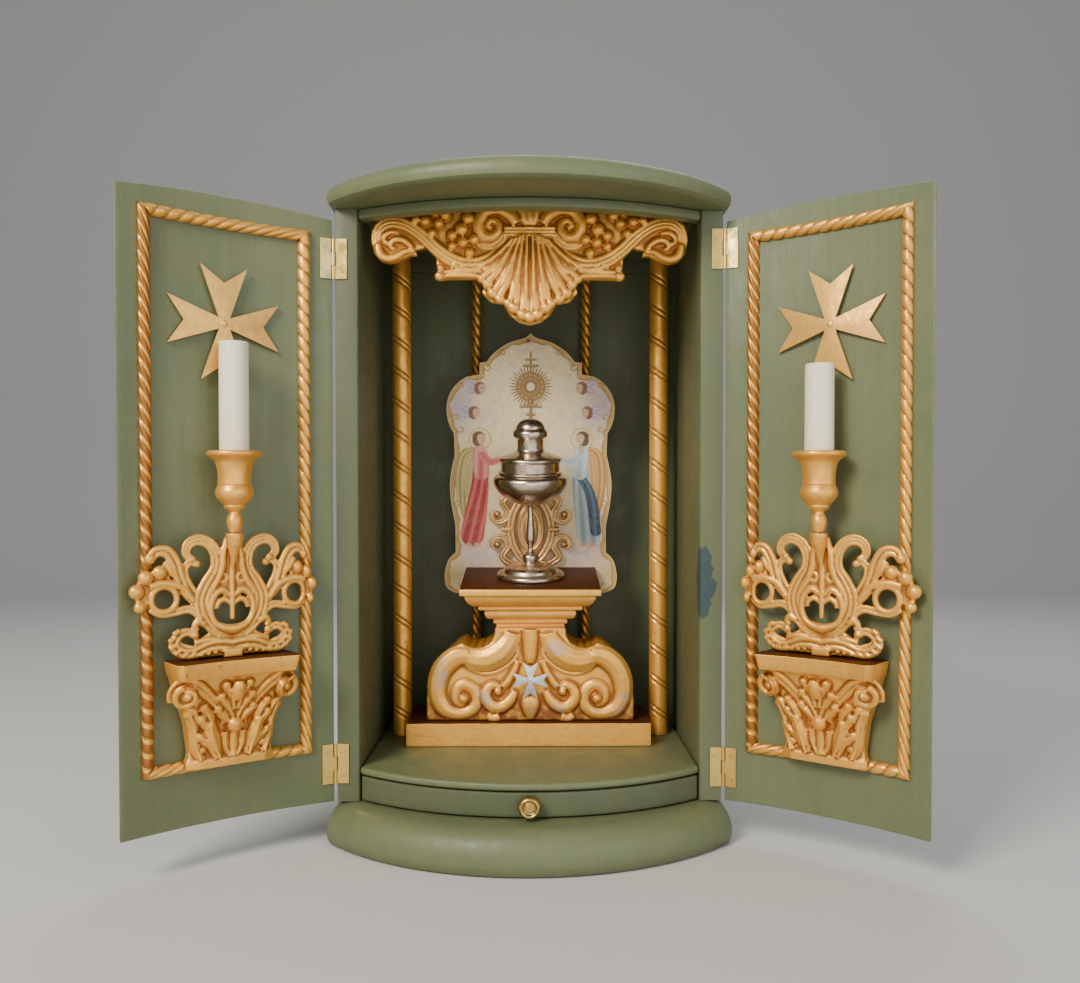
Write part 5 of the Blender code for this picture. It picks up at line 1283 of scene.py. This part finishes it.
def ink(red, green, blue):
    """A printed colour, given from 0 to 255, as the light that it sends back."""
    return ((np.array((red, green, blue)) / 255 + 0.055) / 1.055) ** 2.4


def lay(share, colour):
    """Lays a colour, given as printed values from 0 to 255, over the picture by a share at every point."""
    printed[:] += (ink(*colour) - printed) * np.clip(share, 0, 1)[:, None]


def stroke(points, soft=0.9):
    """Share of a tapered brush stroke through (x, z, radius) points at every point of the card, and how far
    across it the point lies, from -1 to 1."""
    best, offset = np.full(len(across_mm), -9.0), np.zeros(len(across_mm))
    for (x0, z0, r0), (x1, z1, r1) in zip(points, points[1:]):
        wide, tall = x1 - x0, z1 - z0
        long = max(hypot(wide, tall), 0.01)
        share = np.clip(((across_mm - x0) * wide + (up_mm - z0) * tall) / long ** 2, 0, 1)
        apart = np.hypot(across_mm - x0 - share * wide, up_mm - z0 - share * tall)
        radius = r0 + (r1 - r0) * share
        inside = (radius - apart) / soft + 0.5
        side = ((across_mm - x0) * tall - (up_mm - z0) * wide) / long / np.maximum(radius, 0.1)
        offset = np.where(inside > best, side, offset)
        best = np.maximum(best, inside)
    return np.clip(best, 0, 1), np.clip(offset, -1.5, 1.5)


def dab(x, z, radius, soft=0.9):
    """Share of a round dab of colour at every point of the card."""
    return stroke([(x, z, radius), (x + 0.2, z, radius)], soft)[0]


def haze(x, z, wide, tall):
    """Share of a soft round cloud of colour at every point of the card."""
    return np.exp(-((across_mm - x) / wide) ** 2 - ((up_mm - z) / tall) ** 2)


printed[:] = ink(255, 231, 180)
ripple = np.sin(across_mm * 0.31 + 2 * np.sin(up_mm * 0.17))
ripple *= np.sin(up_mm * 0.23 + 1.7 * np.sin(across_mm * 0.13))
lay(0.35 * haze(0, 425, 46, 42), (244, 228, 186))
for side in (-1, 1):
    lay(0.75 * haze(side * 76, 404, 19, 26), (196, 178, 196))
    lay(0.4 * haze(side * 52, 388, 16, 12) * (ripple > -0.2), (205, 192, 200))
    lay(0.55 * haze(side * 62, 246, 24, 22), (220, 178, 172))
    lay(0.8 * haze(side * 81, 226, 13, 12), (186, 180, 104))
    for x, z, r in ((40, 247, 9), (54, 240, 10), (68, 250, 8), (47, 228, 10), (62, 222, 11)):
        lay(0.45 * dab(side * x, z, r, 5), (232, 206, 200))
        lay(0.5 * dab(side * x, z, r, 3) * (1 - dab(side * x, z - 1.6, r, 3)), (178, 160, 190))
lay(0.3 * np.clip(ripple, 0, 1), (214, 200, 186))
lay(0.35 * haze(0, 356, 42, 7), (170, 170, 172))

nearest = np.full(len(across_mm), 99.0)
run_at = np.zeros(len(across_mm))
passed = 0.0
rim_line = sorted(card_side.tolist(), key=lambda point: -point[1])
for (x0, z0), (x1, z1) in zip(rim_line, rim_line[1:]):
    long = max(hypot(x1 - x0, z1 - z0), 1e-6)
    share = np.clip(((np.abs(across_mm) - x0) * (x1 - x0) + (up_mm - z0) * (z1 - z0)) / long ** 2, 0, 1)
    apart = np.hypot(np.abs(across_mm) - x0 - share * (x1 - x0), up_mm - z0 - share * (z1 - z0))
    run_at = np.where(apart < nearest, passed + share * long, run_at)
    nearest = np.minimum(nearest, apart)
    passed += long
wave = 4.3 + 0.9 * np.sin(run_at / 5.5) + 0.5 * np.sin(run_at / 2.1)
lay(np.clip(wave + 0.9 - nearest, 0, 1), (150, 104, 48))
lay(np.clip(wave - nearest, 0, 1), (206, 160, 74))
lay(0.6 * np.clip(1 - np.abs(nearest - 2.6) / 0.9, 0, 1), (232, 196, 112))
lay(np.clip(1.3 - nearest, 0, 1), (232, 214, 158))
for side in (-1, 1):
    for x, z, turn in ((30, 460, 1), (45, 445, -1), (79, 392, 1), (74, 380, -1), (77, 300, 1), (76, 330, -1),
                       (80, 262, 1), (72, 216, -1),
                       (60, 212, 1), (74, 425, 1)):
        curl = [(side * (x + 4.6 * cos(a) * (1 - i / 9)), z + 4.6 * turn * sin(a) * (1 - i / 9), 0.75)
                for i, a in enumerate(radians(45 * i) for i in range(8))]
        lay(0.85 * stroke(curl, 0.8)[0], (176, 128, 58))

DISC_UP = 424.5
turn = np.arctan2(up_mm - DISC_UP, across_mm)
reach = np.hypot(across_mm, up_mm - DISC_UP)
ray_long = np.where(np.cos(turn * 18) > 0, 24.6, 21.5)
rays = (np.abs(np.cos(turn * 18)) - 0.35 - 0.5 * np.clip((reach - 15) / 9, 0, 1)) * 3
lay(np.clip(rays, 0, 1) * np.clip(ray_long - reach, 0, 1), (150, 108, 50))
lay(np.clip(16 - reach, 0, 1), (150, 110, 52))
lay(0.8 * np.clip(1.4 - np.abs(reach - 12.6), 0, 1) * (0.5 + 0.5 * np.cos(turn * 16)), (222, 184, 108))
lay(0.7 * np.clip(1 - np.abs(reach - 8.6), 0, 1), (206, 166, 88))
lay(np.clip(6 - reach, 0, 1), (118, 82, 36))
lay(np.clip(4.9 - reach, 0, 1), (244, 226, 190))
for points in ([(0, 440, 1.3), (0, 461, 0.9)], [(-5.5, 453, 1), (5.5, 453, 1)],
               [(-7, 446.5, 1.5), (7, 446.5, 1.5)], [(0, 409, 3.4), (0, 402, 1.6), (0, 386, 2.2)],
               [(-11, 403, 1.2), (0, 405, 2.6), (11, 403, 1.2)], [(-3.6, 395, 1.6), (3.6, 395, 1.6)]):
    lay(stroke(points)[0], (128, 88, 38))
    lay(0.6 * stroke([(x - 0.5, z + 0.4, r * 0.45) for x, z, r in points])[0], (214, 176, 100))


def head(x, z, size, facing, hair):
    """A small plain head turned a little towards the middle. Its marks are given as shares of its size."""
    def mark(points, soft=0.9):
        return stroke([(x + facing * a * size, z + b * size, r) for a, b, r in points], soft)[0]

    lay(mark([(-0.16, 0.12, size), (-0.3, -0.3, size * 0.8)]), hair)
    lay(mark([(0.22, 0.08, size * 0.62), (0.26, -0.36, size * 0.5)]), (232, 184, 148))
    lay(0.5 * haze(x + facing * 0.5 * size, z - 0.3 * size, 0.25 * size, 0.2 * size), (216, 130, 104))
    for step in (-0.02, 0.46):
        lay(mark([(step, 0.02, 0.35), (step + 0.12, 0, 0.35)], 0.5), (96, 58, 38))
    lay(0.7 * mark([(0.16, -0.48, 0.3), (0.4, -0.48, 0.3)], 0.5), (176, 82, 66))


def folds(points, colour, light, dark, pleats):
    """A draped stroke with lighter and darker pleats running along it."""
    share, offset = stroke(through(points, 5))
    lay(share, colour)
    pleat = np.sin(offset * pleats + 0.05 * up_mm)
    lay(share * np.clip(pleat, 0, 1) * 0.75, light)
    lay(share * np.clip(-pleat, 0, 1) * 0.6, dark)


for side, hue in ((-1, 0), (1, 1)):
    for x, z, hair in ((53, 423, (142, 88, 56)), (59, 397, (132, 76, 46))):
        for lift, far in ((6, 17), (-4, 15)):
            folds([(side * (x + 4), z - 1, 3), (side * (x + 10), z + lift * 0.7, 3.4),
                   (side * (x + far), z + lift, 1.4)],
                  (204, 188, 204), (228, 216, 222), (160, 146, 184), 5)
        head(side * x, z, 6.2, -side, hair)
    wing, wing_light, wing_dark = (((196, 176, 98), (224, 208, 140), (134, 118, 56)),
                                   ((214, 158, 76), (236, 196, 118), (158, 98, 40)))[hue]
    folds([(side * 60, 358, 3), (side * 70, 352, 5.5), (side * 74, 332, 6), (side * 73, 306, 5),
           (side * 70, 284, 1.5)], wing, wing_light, wing_dark, 7)
    folds([(side * 62, 352, 3), (side * 65, 336, 5), (side * 66, 316, 4), (side * 64, 300, 1.2)], wing_light,
          wing, wing_dark, 6)
    lay(dab(side * 54, 369, 11.8), (206, 158, 84))
    lay(dab(side * 54, 369, 10.8), (244, 228, 178))
    robe, robe_light, robe_dark = (((192, 44, 40), (232, 120, 110), (128, 16, 22)),
                                   ((170, 194, 198), (212, 226, 222), (112, 146, 162)))[hue]
    folds([(side * 53, 340, 8), (side * 54, 318, 9.5), (side * 58, 292, 11.5), (side * 62, 268, 12.5)], robe,
          robe_light, robe_dark, 8)
    if hue:
        folds([(side * 51, 330, 4), (side * 60, 318, 5), (side * 66, 298, 6), (side * 69, 272, 6)],
              (46, 78, 112), (96, 132, 158), (26, 44, 76), 5)
    top = ((222, 116, 116), (188, 208, 210))[hue]
    folds([(side * 54, 358, 6.5), (side * 53, 348, 8.4), (side * 52, 334, 8)], top,
          (240, 176, 168) if not hue else (220, 232, 228), robe, 5)
    folds([(side * 52, 353, 4.2), (side * 43, 345, 4), (side * 34, 347, 3)], top, robe_light, robe, 4)
    lay(stroke([(side * 32, 348, 2), (side * 27.5, 351, 1.3)])[0], (230, 180, 144))
    lay(stroke([(side * 53.5, 362, 2.6), (side * 53.5, 358, 3)])[0], (222, 172, 138))
    head(side * 54, 369.5, 7.2, -side, ((112, 66, 38), (78, 50, 34))[hue])
    lay(stroke([(side * 58, 257.5, 2), (side * 54, 256, 1.5)])[0], (224, 172, 138))
    lay(stroke([(side * 66, 257.5, 2), (side * 63, 255.5, 1.5)])[0], (220, 168, 134))
lay(0.5 * haze(-2.5, 472, 5, 3), (170, 70, 60))
lay(dab(-2.6, 473, 1.5), (24, 16, 12))

painted = card.data.attributes.new("painted", "FLOAT_COLOR", "POINT")
painted.data.foreach_set("color", np.concatenate([printed, np.ones((len(printed), 1))], axis=1).ravel())
only(card)
bpy.ops.object.mode_set(mode="EDIT")
bpy.ops.mesh.select_all(action="SELECT")
bpy.ops.mesh.region_to_loop()
bpy.ops.mesh.extrude_edges_move(TRANSFORM_OT_translate={"value": (0, CARD_BACK - CARD_FACE, 0)})
bpy.ops.mesh.edge_face_add()
bpy.ops.mesh.select_all(action="SELECT")
bpy.ops.mesh.normals_make_consistent(inside=False)
bpy.ops.object.mode_set(mode="OBJECT")
print_on_card = bpy.data.materials.new("print_on_card")
print_on_card.use_nodes = True
tree = print_on_card.node_tree
shader = tree.nodes["Principled BSDF"]
place = knot(tree, "TexCoord", {}).outputs["Object"]
depth = knot(tree, "SeparateXYZ", {"Vector": place}).outputs["Y"]
behind = spread(tree, depth, CARD_FACE + 0.1 * MM, CARD_FACE + 0.4 * MM)
picture = blend_of(tree, spread(tree, grain(tree, 240, 3), 0.4, 0.75, 0, 0.28),
                   knot(tree, "Attribute", {}, attribute_name="painted").outputs["Color"],
                   (0.42, 0.33, 0.2))
tree.links.new(blend_of(tree, behind, picture, (0.2, 0.13, 0.07)), shader.inputs["Base Color"])
shader.inputs["Roughness"].default_value = 0.48
relief(tree, shader, ((grain(tree, 320, 2), 0.05 * MM),))
dress(card, print_on_card, "cabinet", "picture_card", smooth=30, slot="printed_card")

# Vessel: a covered bowl on a slim stem with a spindle, a knop and a stepped foot, spun from silver that has
# tarnished to a dark bronze. The lid, with its ringed knob, lifts off. It leans with the cap's sloping top.
tarnished = plain_metal("tarnished_silver", (0.74, 0.62, 0.5), 0.2, (0.44, 0.33, 0.24), 0.8)
seat = Matrix.Translation((0, 11 * MM, 226.6 * MM)) @ Matrix.Rotation(atan2(CAP_TILT, CAP_DEEP), 4, "X")
bowl_shape = [(0, 0), (33.4, 0), (34.1, 0.9), (33.9, 3.4), (32.2, 5.2), (28.4, 5.9), (27.6, 7), (26.6, 9.2),
              (23.8, 11.4), (19, 13.2), (13, 14.6), (9.6, 16),
              (7.6, 17.6), (8.4, 19), (8.6, 21), (7.4, 23.4), (5, 25.2), (2.9, 27.6), (2.3, 30), (3.1, 33),
              (4.5, 37.5), (4.8, 41), (4.2, 50),
              (2.9, 64), (2.6, 70), (3.4, 72.4), (8, 74.2), (17, 76.8), (25, 81), (31.6, 86.6), (35.6, 92.6),
              (37, 97.4), (36.3, 101.2), (33.8, 103.6),
              (31.4, 104.7), (30.4, 104.7), (30.2, 103.9), (34.4, 99.6), (34.6, 95), (31, 88.6),
              (23.5, 82.6), (11, 78.8), (0, 77.6)]
bowl = lathe("vessel_bowl_spun", bowl_shape, 96, 4, sharp=(1, 5, 12, 34, 35))
bowl.data.transform(seat)
dress(bowl, tarnished, "cabinet", "vessel_bowl", smooth=40, slot="tarnished_silver")
lid_shape = [(0, 126.2), (13, 125), (24.6, 121), (28, 117.6), (28.4, 106), (28.6, 105.2), (31.6, 105.2),
             (31.9, 106.6), (30.6, 107.8), (29.4, 108.4), (29.2, 116.8),
             (30.2, 117.6), (31.3, 119.2), (30.6, 121.2), (28, 122.6), (22, 125), (16, 127), (13.8, 128.6),
             (13.2, 131), (13.2, 138.6), (14.4, 140.6),
             (16.6, 141.9), (17.3, 144.2), (16.9, 147.2), (15.2, 149.4), (14.1, 150), (14.4, 151),
             (13.2, 154), (10, 157.6), (5.6, 159.5), (0, 160)]
lid = lathe("vessel_lid_spun", lid_shape, 96, 4, sharp=(5, 6, 9, 10, 17, 25))
lid.data.transform(seat)
dress(lid, tarnished, "cabinet", "vessel_lid", smooth=40, slot="tarnished_silver")

# Drawer: a bowed green front between the base and the niche floor, a plain wooden tray behind it, and a
# turned brass knob with a ring and a screw head in its middle.
DRAWER_HALF, DRAWER_BOW = 149.6 * MM, 53 * MM
drawer = grid_piece("drawer_front_board", 96, 6, lambda s, t: (
    DRAWER_HALF * (2 * s - 1), FRONT - bow(DRAWER_HALF * (2 * s - 1), DRAWER_HALF, DRAWER_BOW),
    (37.4 + 21.4 * t) * MM))
round_off(thicken(drawer, (0, 10 * MM, 0)), 1.5 * MM, 3, angle=45)
# The drawer front takes the copy darkened with painted shade.
dress(drawer, shaded_sage, "cabinet", "drawer_front", slot="sage_green_paint")
tray = bowed_board("drawer_tray_box", DRAWER_HALF - 2 * MM, DRAWER_BOW, -108.7 * MM, 70 * MM, 37.4 * MM,
                   56.8 * MM)
room = bowed_board("tray_room", DRAWER_HALF - 7 * MM, DRAWER_BOW - 3 * MM, -103.7 * MM, 65 * MM, 41.4 * MM,
                   61.8 * MM)
only(tray)
cut = tray.modifiers.new("room", "BOOLEAN")
cut.operation, cut.solver, cut.object = "DIFFERENCE", "EXACT", room
bpy.ops.object.modifier_apply(modifier="room")
bpy.data.objects.remove(room)
dress(tray, varnish_top, "cabinet", "drawer_tray", slot="dark_varnish")
knob_shape = [(0, 0), (4.9, 0), (4.2, 1.2), (3.8, 3), (4.8, 4.4), (8.4, 5), (9.6, 5.8), (9.8, 7.2), (9.2, 9),
              (8.2, 10.4), (7.2, 11), (6.2, 10.5),
              (5.2, 9.2), (4.2, 9), (3.7, 10), (3.4, 10.2), (0.5, 10.2), (0.4, 9.6), (0, 9.6)]
knob = lathe("drawer_knob_turned", knob_shape, 56, 4, sharp=(1, 14, 16))
knob.data.transform(Matrix.Translation((0, -173.3 * MM, 48.1 * MM)) @ Matrix.Rotation(pi / 2, 4, "X"))
dress(knob, plain_metal("knob_brass", (0.8, 0.55, 0.2), 0.22, (0.3, 0.18, 0.06), 0.6), "cabinet",
      "drawer_knob", smooth=40, slot="brass")
